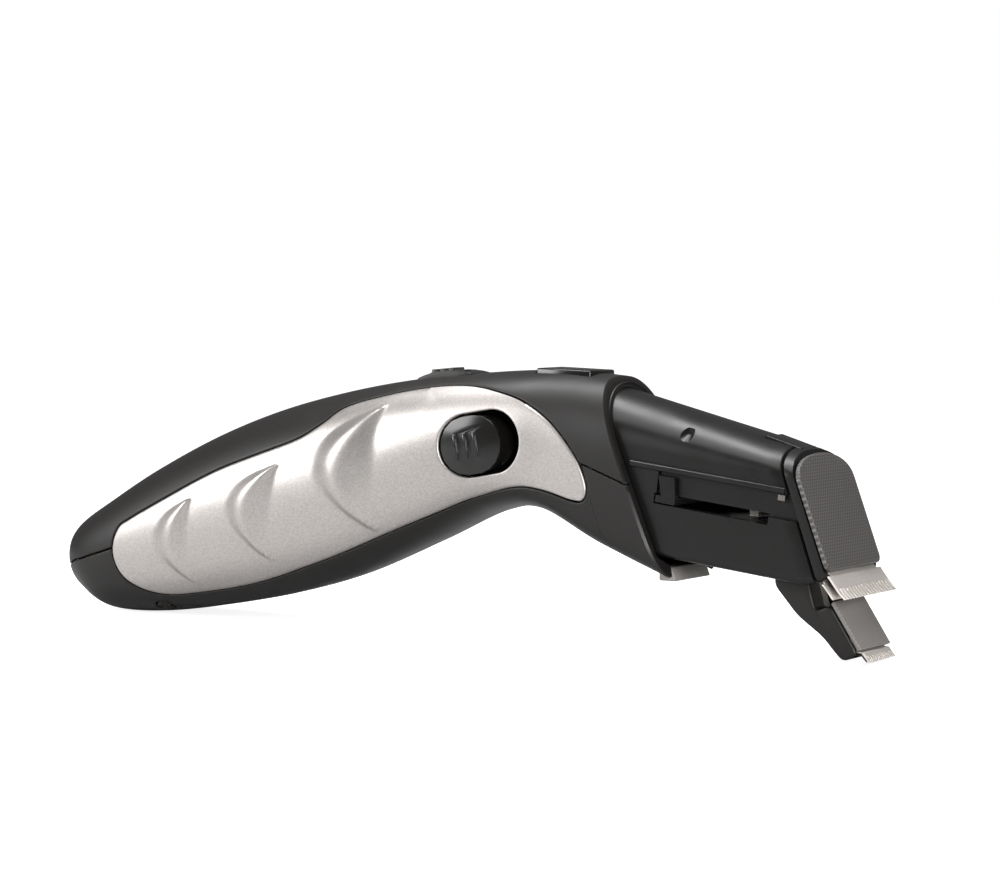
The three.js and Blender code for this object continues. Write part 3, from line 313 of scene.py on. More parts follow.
def applied(
    piece: bpy.types.Object, others: Sequence[bpy.types.Object] = (), does: Solid = Solid.CUTS
) -> bpy.types.Object:
    """Bakes the piece's modifiers into its mesh, after a boolean with each other solid.

    Args:
        piece: the object to bake.
        others: solids that are used up.
        does: what they do to the piece.

    Returns:
        The piece.
    """
    for other in others:
        boolean = piece.modifiers.new("boolean", "BOOLEAN")
        boolean.operation, boolean.solver, boolean.object = does.value, "EXACT", other
    bpy.context.view_layer.update()
    evaluated = piece.evaluated_get(bpy.context.evaluated_depsgraph_get())
    mesh = bpy.data.meshes.new_from_object(evaluated)
    piece.modifiers.clear()
    piece.data = mesh
    for other in others:
        bpy.data.objects.remove(other)
    return piece


def thicken(piece: bpy.types.Object, wall: float) -> bpy.types.Object:
    """Gives a skin a wall inwards of its faces.

    Args:
        piece: the object with the skin.
        wall: in mm.

    Returns:
        The piece, with a live modifier.
    """
    solidify = piece.modifiers.new("wall", "SOLIDIFY")
    solidify.thickness, solidify.offset, solidify.use_even_offset = wall * MM, -1, False
    return piece


def smooth(piece: bpy.types.Object, degrees: float = 32) -> bpy.types.Object:
    """Smooth shading, with edges sharper than the angle kept sharp.

    Args:
        piece: the object.
        degrees: the angle.

    Returns:
        The piece.
    """
    mesh = piece.data
    mesh.polygons.foreach_set("use_smooth", np.ones(len(mesh.polygons), bool))
    mesh.set_sharp_from_angle(angle=math.radians(degrees))
    return piece


def prism(
    name: str, outline: np.ndarray, y0: float, y1: float, edge: float = 0.25, steps: int = 4
) -> bpy.types.Object:
    """An outline carried across from y0 to y1, with quarter-round edges.

    At the angle q of the quarter round the outline is drawn in by edge * (1 - sin q), at a distance
    from the end of edge * (1 - cos q).

    Args:
        name: of the object.
        outline: closed outline in the side plane, in mm.
        y0, y1: where it starts and ends across.
        edge: radius of the quarter round.
        steps: rings on each quarter round.

    Returns:
        The closed solid.
    """
    outline = np.asarray(outline, float)
    if signed_area(outline) < 0:
        outline = outline[::-1]
    q = np.linspace(0, math.pi / 2, steps) if edge else np.array([math.pi / 2])
    inset, back = edge * (1 - np.sin(q)), edge * (1 - np.cos(q))
    insets = np.concatenate([inset, inset[::-1]])
    ys = np.concatenate([y0 + back, (y1 - back)[::-1]])
    if not edge:
        ys = np.array([y0, y1])
    rings = [moved_out(outline, -i) for i in insets]
    points = np.vstack([np.column_stack([r[:, 0], np.full(len(r), y), r[:, 1]]) for r, y in zip(rings, ys)])
    n = len(outline)
    faces = grid_faces(len(ys), n, wrap=True).tolist()
    faces.append(list(range(n)))
    faces.append(list(range((len(ys) - 1) * n, len(ys) * n)))
    piece = new_piece(name, points, faces)
    closed_normals(piece)
    return piece


def rings_piece(name: str, rings: Sequence[np.ndarray]) -> bpy.types.Object:
    """A closed solid over rings of points.

    Args:
        name: of the object.
        rings: closed rings in mm, with as many points in each. The first and the last are capped.

    Returns:
        The object, with its faces outwards.
    """
    n = len(rings[0])
    faces = grid_faces(len(rings), n, wrap=True).tolist()
    faces += [list(range(n)), list(range((len(rings) - 1) * n, len(rings) * n))]
    piece = new_piece(name, np.vstack(rings), faces)
    closed_normals(piece)
    return piece


def rod(
    name: str, start: Sequence[float], end: Sequence[float], r0: float, r1: float, sides: int = 32
) -> bpy.types.Object:
    """A cylinder or cone between two points, with flat ends.

    Args:
        name: of the object.
        start, end: middles of the two ends in mm.
        r0, r1: radii there.
        sides: points around it.

    Returns:
        The object.
    """
    a, b = np.asarray(start, float), np.asarray(end, float)
    axis = (b - a) / np.linalg.norm(b - a)
    u = np.cross(axis, [0.3, 0.9, 0.2])
    u /= np.linalg.norm(u)
    v = np.cross(axis, u)
    q = np.linspace(0, 2 * math.pi, sides, endpoint=False)[:, None]
    circle = np.cos(q) * u + np.sin(q) * v
    return rings_piece(name, [a + r0 * circle, b + r1 * circle])


def slab(
    name: str, seat: SideFrame, box: Sequence[float], y0: float, y1: float, edge: float = 0.0
) -> bpy.types.Object:
    """A box in a side-plane frame, from (a0, b0) to (a1, b1) and from y0 to y1."""
    return prism(name, seat.box(*box), y0, y1, edge)


def refined(node: str, bevel: float, segments: int = 2) -> bpy.types.Object:
    """A merged copy of a CAD node with its flat faces joined and its edges rounded.

    Args:
        node: the CAD node.
        bevel: width of the rounding in mm.
        segments: faces across the rounding.

    Returns:
        The copy, with smooth shading.
    """
    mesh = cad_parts[node].data.copy()
    with editing(mesh) as work:
        bmesh.ops.remove_doubles(work, verts=work.verts, dist=DOUBLES)
        bmesh.ops.dissolve_limit(work, angle_limit=math.radians(1), verts=work.verts, edges=work.edges)
    mesh.materials.clear()
    piece = bpy.data.objects.new(node + "_fine", mesh)
    bpy.context.scene.collection.objects.link(piece)
    rounding = piece.modifiers.new("edges", "BEVEL")
    rounding.width, rounding.segments = bevel * MM, segments
    rounding.limit_method, rounding.angle_limit = "ANGLE", math.radians(30)
    applied(piece)
    return smooth(piece)


def place(
    piece: bpy.types.Object, body: Body, slot: str, finish: "Finish", *nodes: str
) -> bpy.types.Object:
    """Dresses a finished piece, seats it on its body and hides the CAD nodes that it stands for.

    Args:
        piece: the object.
        body: the moving body that it rides on.
        slot: not used.
        finish: its surface.
        nodes: the CAD nodes that it replaces.

    Returns:
        The piece.
    """
    piece.data.materials.clear()
    piece.data.materials.append(finish.material())
    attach(piece, body.value)
    if nodes:
        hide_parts(*nodes)
    log.info("%s: %d faces, rides on %s", piece.name, len(piece.data.polygons), body.value)
    return piece


# ---- Finishes ---------------------------------------------------------------------------------


def linear(hex_colour: str) -> tuple[float, float, float, float]:
    """An sRGB hex colour as linear RGBA, by the sRGB curve.

    Args:
        hex_colour: such as #1b1918.

    Returns:
        Red, green, blue and an alpha of 1.
    """
    value = np.array([int(hex_colour[i : i + 2], 16) for i in (1, 3, 5)]) / 255
    rgb = np.where(value <= 0.04045, value / 12.92, ((value + 0.055) / 1.055) ** 2.4)
    return (*map(float, rgb), 1.0)


def add(
    tree: bpy.types.NodeTree, kind: str, inputs: dict | None = None, **settings: object
) -> bpy.types.Node:
    """Adds a node with its settings and links.

    Args:
        tree: the node tree.
        kind: the node's type.
        inputs: values by input name. A value that is a socket is linked, and any other is set.
        settings: the node's own properties.

    Returns:
        The node.
    """
    made = tree.nodes.new(kind)
    for key, value in settings.items():
        setattr(made, key, value)
    for key, value in (inputs or {}).items():
        if isinstance(value, bpy.types.NodeSocket):
            tree.links.new(value, made.inputs[key])
        else:
            made.inputs[key].default_value = value
    return made


def per_metre(size_mm: float) -> float:
    """The texture scale that gives features of about that size, on Object coordinates in metres."""
    return 1 / (size_mm * MM)


@dataclass(frozen=True)
class Finish:
    """A surface: a shader with two scales of variation and a fine relief.

    The colour runs between "colour" and "shade" over cloudy patches of "cloud" mm. The roughness
    wanders by "wander" over the same patches. The relief is noise of "grain" mm, "relief" mm high.

    Args:
        name: the material's name.
        colour, shade: sRGB hex values.
        roughness, wander: middle and swing of the roughness.
        grain, relief, cloud: sizes in mm.
        metallic: 0 or 1, or between for a paint with metal flakes.
        coat: strength of a clear film.
        specular: strength of the reflection of a plastic.
    """

    name: str
    colour: str
    shade: str
    roughness: float
    wander: float = 0.04
    grain: float = 0.3
    relief: float = 0.004
    cloud: float = 9.0
    metallic: float = 0.0
    coat: float = 0.0
    specular: float = 0.5

    def pattern(self, tree: bpy.types.NodeTree, where: bpy.types.NodeSocket) -> bpy.types.NodeSocket:
        """The height pattern of the relief, from 0 to 1."""
        noise = {"Vector": where, "Scale": per_metre(self.grain), "Detail": 3.0}
        return add(tree, "ShaderNodeTexNoise", noise).outputs["Fac"]

    def tone(
        self, tree: bpy.types.NodeTree, height: bpy.types.NodeSocket, cloud: bpy.types.NodeSocket
    ) -> bpy.types.NodeSocket:
        """What takes the tone from the colour, at 0, to the shade, at 1: the clouds."""
        return cloud

    def material(self) -> bpy.types.Material:
        """The node material, made once and then shared.

        Returns:
            The material.
        """
        known = bpy.data.materials.get(self.name)
        if known:
            return known
        made = bpy.data.materials.new(self.name)
        made.use_nodes = True
        tree = made.node_tree
        tree.nodes.clear()
        where = add(tree, "ShaderNodeTexCoord").outputs["Object"]
        height = self.pattern(tree, where)
        noise = {"Vector": where, "Scale": per_metre(self.cloud), "Detail": 2.0}
        cloud = add(tree, "ShaderNodeTexNoise", noise).outputs["Fac"]
        low, high = self.roughness - self.wander, self.roughness + self.wander
        span = {"Value": cloud, "From Min": 0.3, "From Max": 0.7, "To Min": low, "To Max": high}
        rough = add(tree, "ShaderNodeMapRange", span)
        bump = add(tree, "ShaderNodeBump", {"Height": height, "Distance": self.relief * MM, "Strength": 1.0})
        tone = self.tone(tree, height, cloud)
        mixed = add(tree, "ShaderNodeMix", {"Factor": tone}, data_type="RGBA")
        mixed.inputs["A"].default_value = linear(self.colour)
        mixed.inputs["B"].default_value = linear(self.shade)
        shader = add(
            tree,
            "ShaderNodeBsdfPrincipled",
            {
                "Base Color": mixed.outputs["Result"],
                "Roughness": rough.outputs["Result"],
                "Normal": bump.outputs["Normal"],
                "Metallic": self.metallic,
                "Coat Weight": self.coat,
                "Specular IOR Level": self.specular,
            },
        )
        add(tree, "ShaderNodeOutputMaterial", {"Surface": shader.outputs["BSDF"]})
        return made


@dataclass(frozen=True)
class FlakePaint(Finish):
    """Silver paint: metal flakes in a satin lacquer, which sparkle as a fine grain of tone.

    Args:
        flake: size of a flake in mm, drawn coarser than a real one so that it shows.
    """

    flake: float = 0.2

    def tone(
        self, tree: bpy.types.NodeTree, height: bpy.types.NodeSocket, cloud: bpy.types.NodeSocket
    ) -> bpy.types.NodeSocket:
        """A random tone for each cell of flake size.

        Args:
            tree: the node tree.
            height, cloud: the other patterns, which the flakes don't follow.

        Returns:
            The socket of the tone.
        """
        where = add(tree, "ShaderNodeTexCoord").outputs["Object"]
        cells = add(tree, "ShaderNodeTexVoronoi", {"Vector": where, "Scale": per_metre(self.flake)})
        return add(tree, "ShaderNodeSeparateColor", {"Color": cells.outputs["Color"]}).outputs["Red"]


@dataclass(frozen=True)
class BrushedMetal(Finish):
    """Ground metal: fine parallel scratches across the sheet, along Y.

    Args:
        stretch: scale of the pattern along X, Y and Z.
    """

    stretch: tuple[float, float, float] = (1.0, 0.04, 1.0)

    def pattern(self, tree: bpy.types.NodeTree, where: bpy.types.NodeSocket) -> bpy.types.NodeSocket:
        """Noise that is drawn out along the scratches by a stretched Mapping.

        Args:
            tree: the node tree.
            where: Object coordinates.

        Returns:
            The socket of the height.
        """
        drawn = add(tree, "ShaderNodeMapping", {"Vector": where, "Scale": self.stretch})
        noise = {"Vector": drawn.outputs["Vector"], "Scale": per_metre(self.grain), "Detail": 4.0}
        return add(tree, "ShaderNodeTexNoise", noise).outputs["Fac"]

    def tone(
        self, tree: bpy.types.NodeTree, height: bpy.types.NodeSocket, cloud: bpy.types.NodeSocket
    ) -> bpy.types.NodeSocket:
        """The tone follows the scratches."""
        return height


@dataclass(frozen=True)
class EmbossedPlastic(Finish):
    """Plastic with a fine diamond emboss: two waves that cross on the sloping face, with painted shade in
    the valleys.

    The height is the product of two sine waves across the face. Each is turned by the crossing
    angle, one to either side.

    Args:
        pitch: from one crest of a wave to the next, in mm.
        lean: turn about Y that lays the pattern on the face, in degrees.
        crossing: turn of each wave in the plane of the face, in degrees.
    """

    pitch: float = 0.62
    lean: float = -70.0
    crossing: float = 32.0

    def pattern(self, tree: bpy.types.NodeTree, where: bpy.types.NodeSocket) -> bpy.types.NodeSocket:
        """Two crossed wave patterns, multiplied.

        A band texture of scale 1 repeats after pi / 10, so the scale is 1 / pitch times pi / 10.

        Args:
            tree: the node tree.
            where: Object coordinates.

        Returns:
            The socket of the height.
        """
        face = {"Vector": where, "Rotation": (0.0, math.radians(self.lean), 0.0)}
        turned = add(tree, "ShaderNodeMapping", face).outputs["Vector"]
        scale = per_metre(self.pitch) * math.pi / 10
        waves = []
        for way in (1.0, -1.0):
            cross = {"Vector": turned, "Rotation": (0.0, 0.0, way * math.radians(self.crossing))}
            skew = add(tree, "ShaderNodeMapping", cross).outputs["Vector"]
            wave = add(tree, "ShaderNodeTexWave", {"Vector": skew, "Scale": scale}, bands_direction="Y")
            waves.append(wave.outputs["Fac"])
        return add(tree, "ShaderNodeMath", {0: waves[0], 1: waves[1]}, operation="MULTIPLY").outputs[0]

    def tone(
        self, tree: bpy.types.NodeTree, height: bpy.types.NodeSocket, cloud: bpy.types.NodeSocket
    ) -> bpy.types.NodeSocket:
        """Painted shade: the raised diamonds have the colour, and the valleys the darker shade."""
        return add(tree, "ShaderNodeMath", {0: 1.0, 1: height}, operation="SUBTRACT").outputs[0]


# Black ABS from a spark-eroded mould: satin, with a soft sheen along its curves.
SHELL_ABS = Finish(
    "satin_black_abs", "#1b1918", "#171514", 0.42, 0.03, grain=0.22, relief=0.003, specular=0.34
)
# Flake paint over moulded ABS: a soft metallic bloom with a fine visible grain.
PANEL_PAINT = FlakePaint(
    "silver_flake_paint", "#bcb8b5", "#a8a3a0", 0.38, 0.03, grain=0.25, relief=0.002, metallic=0.8, coat=0.05
)
# ABS from a polished mould: gloss black with a clean reflection.
GLOSS_ABS = Finish("gloss_black_abs", "#151413", "#100f0e", 0.2, 0.03, grain=0.6, relief=0.0008)
# The head's ABS, from a smoother mould than the grip's: almost black, with the faintest mottling.
HEAD_ABS = Finish(
    "semi_gloss_black_abs", "#121110", "#0f0e0e", 0.32, 0.04, grain=0.3, relief=0.0012, specular=0.32
)
# Grey ABS with a diamond emboss: a soft grey over its many small facets, with painted shade in the valleys
# between them.
PLATE_ABS = EmbossedPlastic("embossed_grey_abs", "#6d6a67", "#3c3a39", 0.5, 0.03, relief=0.05)
# The same emboss at a finer pitch on the detail trimmer, with the same painted shade in its valleys: lighter
# and flatter to the eye.
DETAIL_ABS = EmbossedPlastic(
    "embossed_grey_abs_small", "#94908d", "#6b6865", 0.45, 0.03, relief=0.02, pitch=0.4
)
# Mid-grey ABS, coloured in the melt: an even dull grey.
BUTTON_ABS = Finish("grey_moulded_abs", "#8f8b87", "#85817d", 0.42, 0.04, grain=0.2, relief=0.003)
# Steel screws in black oxide: a dark, slightly oily gleam.
BLACK_OXIDE = Finish(
    "black_oxide_steel", "#2c2a29", "#232120", 0.38, 0.05, grain=0.15, relief=0.001, metallic=0.9
)
# Ground steel of the moving cutters, coloured darker as painted shade, because only a sliver of it meets the
# light.
PAINTED_SHADE_CUTTER_STEEL = BrushedMetal(
    "shaded_cutter_steel", "#5c5855", "#45413f", 0.42, 0.05, grain=0.12, relief=0.001, metallic=1.0
)
# Charcoal ABS of the setting knob: a shade above the shell around it.
KNOB_ABS = Finish("charcoal_moulded_abs", "#3a3736", "#33302f", 0.4, 0.04, grain=0.2, relief=0.003)
# Stainless blades ground on a wheel: pale, with fine scratches that spread the shine.
BLADE_STEEL = BrushedMetal(
    "ground_stainless_steel", "#f0eae4", "#d6cfc9", 0.45, 0.05, grain=0.12, relief=0.0016, metallic=0.7
)
# Hardened spring steel with a film of oil: a darker grey metal.
SPRING_STEEL = BrushedMetal(
    "oiled_spring_steel", "#8f8a86", "#76716d", 0.36, 0.05, grain=0.1, relief=0.001, metallic=1.0
)
# Drawn brass of the contacts and the motor's cam: warm yellow with drawing lines.
DRAWN_BRASS = BrushedMetal(
    "drawn_brass", "#d1ac5c", "#b48d40", 0.3, 0.05, grain=0.15, relief=0.001, metallic=1.0
)
# Glass-fibre board under green solder mask: a thin gloss over a faint weave.
BOARD_RESIN = Finish(
    "solder_masked_board", "#20633a", "#174c2c", 0.35, 0.05, grain=1.4, relief=0.02, cloud=2.2
)
# PVC film shrunk round the cell: smooth blue with slow ripples.
CELL_FILM = Finish("cell_shrink_film", "#3f72ab", "#335f92", 0.3, 0.05, grain=2.0, relief=0.01, cloud=5.0)
# Natural nylon of the sliding parts: waxy off-white.
NYLON = Finish("natural_nylon", "#dcd8ce", "#cfcabf", 0.5, 0.05, grain=0.3, relief=0.004, cloud=3.0)
# Silicone sleeves of the two motor leads: soft and a little dull.
LEAD_RED = Finish("red_silicone_lead", "#a52b23", "#8e211b", 0.45, 0.05, grain=0.4, relief=0.004, cloud=3.0)
LEAD_BLACK = Finish(
    "black_silicone_lead", "#1c1c1c", "#141414", 0.45, 0.05, grain=0.4, relief=0.004, cloud=3.0
)

SLOT_FINISH = {
    "shell_black": SHELL_ABS,
    "panel_silver": PANEL_PAINT,
    "gloss_black": GLOSS_ABS,
    "head_black": HEAD_ABS,
    "plate_grey": PLATE_ABS,
    "button_grey": BUTTON_ABS,
    "steel": SPRING_STEEL,
    "brass": DRAWN_BRASS,
    "board_green": BOARD_RESIN,
    "cell_sleeve": CELL_FILM,
    "nylon": NYLON,
    "lead_red": LEAD_RED,
    "lead_black": LEAD_BLACK,
}


# ---- Grip -------------------------------------------------------------------------------------


@dataclass(frozen=True)
class GripSurface:
    """The grip's outer surface, as a function of a station t (0 heel to 12 collar) and a height h.

    A station's section is a superellipse about the chord from its belly point to its spine point:
    |y| = w * (1 - |h|^n)^(1/n), where h runs from -1 at the belly to 1 at the spine. The stations
    are joined by Catmull-Rom curves.

    Args:
        length, depth, half_width: overall sizes in mm.
        stations: spine X and Z, belly X and Z and w as shares, then n for the spine and belly sides.
        ridges: station and height of each crease, half length, lean in degrees, bulge of the outer
            arc and of the crest, and height. The lengths are in mm.
    """

    length: float = 128.5
    depth: float = 51.8
    half_width: float = 15.0
    stations: tuple[tuple[float, ...], ...] = (
        (0.0, 0.282, 0.0, 0.158, 0.333, 2.2, 2.2),
        (0.0054, 0.336, 0.007, 0.112, 0.533, 2.2, 2.2),
        (0.025, 0.384, 0.03, 0.062, 0.693, 2.2, 2.2),
        (0.072, 0.454, 0.0755, 0.01, 0.827, 2.2, 2.2),
        (0.165, 0.585, 0.173, 0.0135, 0.92, 2.2, 2.2),
        (0.282, 0.722, 0.297, 0.058, 0.973, 2.2, 2.2),
        (0.398, 0.826, 0.422, 0.12, 1.0, 2.2, 2.2),
        (0.515, 0.9, 0.546, 0.2085, 1.0, 2.2, 2.2),
        (0.632, 0.952, 0.679, 0.3475, 0.973, 2.3, 2.3),
        (0.749, 0.983, 0.795, 0.475, 0.92, 2.4, 2.5),
        (0.85, 1.0, 0.889, 0.494, 0.867, 2.5, 3.0),
        (0.928, 1.0, 0.998, 0.3785, 0.847, 2.6, 4.0),
        (1.0, 0.985, 1.117, 0.268, 0.86, 2.7, 5.0),
    )
    ridges: tuple[tuple[float, ...], ...] = (
        (4.96, -0.19, 8.8, 4.0, 10.0, 4.3, 1.3),
        (6.3, -0.14, 9.8, 8.0, 12.1, 6.4, 1.6),
        (7.84, -0.02, 12.4, 4.0, 15.5, 8.4, 2.0),
    )

    def shift(self) -> np.ndarray:
        """Place of the heel's middle in the frame, less its place in the stations' own axes.

        Returns:
            X and Z of that move, in mm.
        """
        low, high = node_box("heel_plate")
        first = self.stations[0]
        middle = (first[1] + first[3]) / 2 * self.depth
        return np.array([low[0], (low[2] + high[2]) / 2 - middle])

    def at(self, t: np.ndarray | float) -> np.ndarray:
        """Spine X, Z, belly X, Z, half-width and both exponents at stations, by Catmull-Rom.

        Args:
            t: stations.

        Returns:
            Seven values for each station, the first four in the frame's own axes.
        """
        size = np.array([self.length, self.depth, self.length, self.depth, self.half_width, 1, 1])
        p = np.array(self.stations)
        p = np.vstack([2 * p[0] - p[1], p, 2 * p[-1] - p[-2]]) * size
        t = np.asarray(t, float)
        i = np.clip(np.floor(t).astype(int), 0, len(self.stations) - 2)
        f = (t - i)[..., None]
        a, b, c, d = p[i], p[i + 1], p[i + 2], p[i + 3]
        cubic = (2 * a - 5 * b + 4 * c - d) * f**2 + (3 * b - a - 3 * c + d) * f**3
        found = 0.5 * (2 * b + (c - a) * f + cubic)
        found[..., :4] += np.tile(self.shift(), 2)
        return found

    def side(self, t: np.ndarray | float, h: np.ndarray | float) -> np.ndarray:
        """Side-plane points: the belly point plus (h + 1) / 2 of the chord.

        Args:
            t, h: stations and heights.

        Returns:
            X and Z of each point.
        """
        s = self.at(t)
        share = (np.asarray(h, float)[..., None] + 1) / 2
        return s[..., 2:4] + (s[..., 0:2] - s[..., 2:4]) * share

    def half(self, t: np.ndarray, h: np.ndarray) -> np.ndarray:
        """Half-width of the section at a height.

        Args:
            t, h: stations and heights.

        Returns:
            The half-widths in mm.
        """
        s = self.at(t)
        n = np.where(np.asarray(h) > 0, s[..., 5], s[..., 6])
        return s[..., 4] * (1 - np.minimum(np.abs(h), 1) ** n) ** (1 / n)

    def find(self, points: np.ndarray) -> tuple[np.ndarray, np.ndarray]:
        """Station and height of side-plane points: halves an interval of t until the chord meets them.

        Args:
            points: side-plane points in mm.

        Returns:
            Their stations and their heights.
        """
        low, high = np.zeros(points.shape[:-1]), np.full(points.shape[:-1], COLLAR)
        for _ in range(36):
            t = (low + high) / 2
            s = self.at(t)
            chord, away = s[..., 0:2] - s[..., 2:4], points - s[..., 2:4]
            ahead = chord[..., 0] * away[..., 1] - chord[..., 1] * away[..., 0] < 0
            low, high = np.where(ahead, t, low), np.where(ahead, high, t)
        chord, away = s[..., 0:2] - s[..., 2:4], points - s[..., 2:4]
        share = np.sum(chord * away, -1) / np.sum(chord * chord, -1)
        return t, np.clip(2 * share - 1, -1, 1)

    def lift(self, points: np.ndarray) -> np.ndarray:
        """How far the finger ridges lift the panel.

        Across a ridge the share s runs from 0 on the outer arc to 1 on the crest and on to the
        crease, where it drops. The lift is height * sqrt(1 - up^2) * s^2 (3 - 2s).

        Args:
            points: side-plane points in mm.

        Returns:
            The lifts in mm.
        """
        total = np.zeros(points.shape[:-1])
        for t, h, half, lean, outer, crest, height in self.ridges:
            away = points - self.side(t, h)
            c, s = math.cos(math.radians(lean)), -math.sin(math.radians(lean))
            along = away[..., 0] * c + away[..., 1] * s
            up = (away[..., 1] * c - away[..., 0] * s) / half
            bulge = np.maximum(0, 1 - up**2)
            top = -crest * bulge
            edge = np.where(along < top, -outer * bulge, 0)
            share = (along - edge) / np.where(np.abs(top - edge) < 1e-9, 1e-9, top - edge)
            inside = (bulge > 0) & (share > 0) & (share <= 1)
            k = np.clip(share, 0, 1)
            total += np.where(inside, height * np.sqrt(bulge) * k * k * (3 - 2 * k), 0)
        return total

    def axis(self) -> np.ndarray:
        """Points along the middle of the grip.

        Returns:
            Points in mm, in the middle plane.
        """
        t = np.linspace(0, COLLAR, 49)
        middle = self.side(t, np.zeros_like(t))
        return np.column_stack([middle[:, 0], np.zeros(len(t)), middle[:, 1]])


def distance_to(points: np.ndarray, line: np.ndarray) -> np.ndarray:
    """Distance in the side plane from each point to an open or closed polyline.

    Args:
        points: side-plane points in mm.
        line: the polyline's points.

    Returns:
        The distances in mm.
    """
    a, b = line[:-1], line[1:]
    run = b - a
    length = np.maximum(np.sum(run * run, -1), 1e-12)
    flat = points.reshape(-1, 2)
    best = np.full(len(flat), 1e9)
    for k in range(0, len(flat), 4000):
        away = flat[k : k + 4000, None] - a[None]
        share = np.clip(np.sum(away * run[None], -1) / length, 0, 1)
        gap = away - share[..., None] * run[None]
        best[k : k + 4000] = np.sqrt(np.min(np.sum(gap * gap, -1), axis=1))
    return best.reshape(points.shape[:-1])


def quarter_drop(distance: np.ndarray, radius: float) -> np.ndarray:
    """Depth of a rounded edge at a distance d from it: r - sqrt(r^2 - (r - d)^2), and 0 past r."""
    short = np.clip(radius - distance, 0, radius)
    return radius - np.sqrt(np.maximum(radius**2 - short**2, 0))


EDGE_STEPS = (0.0, 0.03, 0.09, 0.18, 0.32, 0.55, 0.95)  # mm from an edge to the first rows of a grid


def edged_rows(lengths: np.ndarray, rows: int) -> np.ndarray:
    """Row places from 0 to 1 in each column, close together at both ends and even between.

    Args:
        lengths: the columns' lengths in mm.
        rows: even rows between the close ones.

    Returns:
        One line of places for each column.
    """
    steps = np.array(EDGE_STEPS)
    most = 0.4 * np.arange(len(steps)) / len(steps)
    near = np.minimum(steps[None] / np.maximum(lengths, 1e-6)[:, None], most)
    share = np.linspace(0, 1, rows + 2)[1:-1][None]
    start, end = near[:, -1:], 1 - near[:, -1:]
    return np.hstack([near, start + (end - start) * share, 1 - near[:, ::-1]])


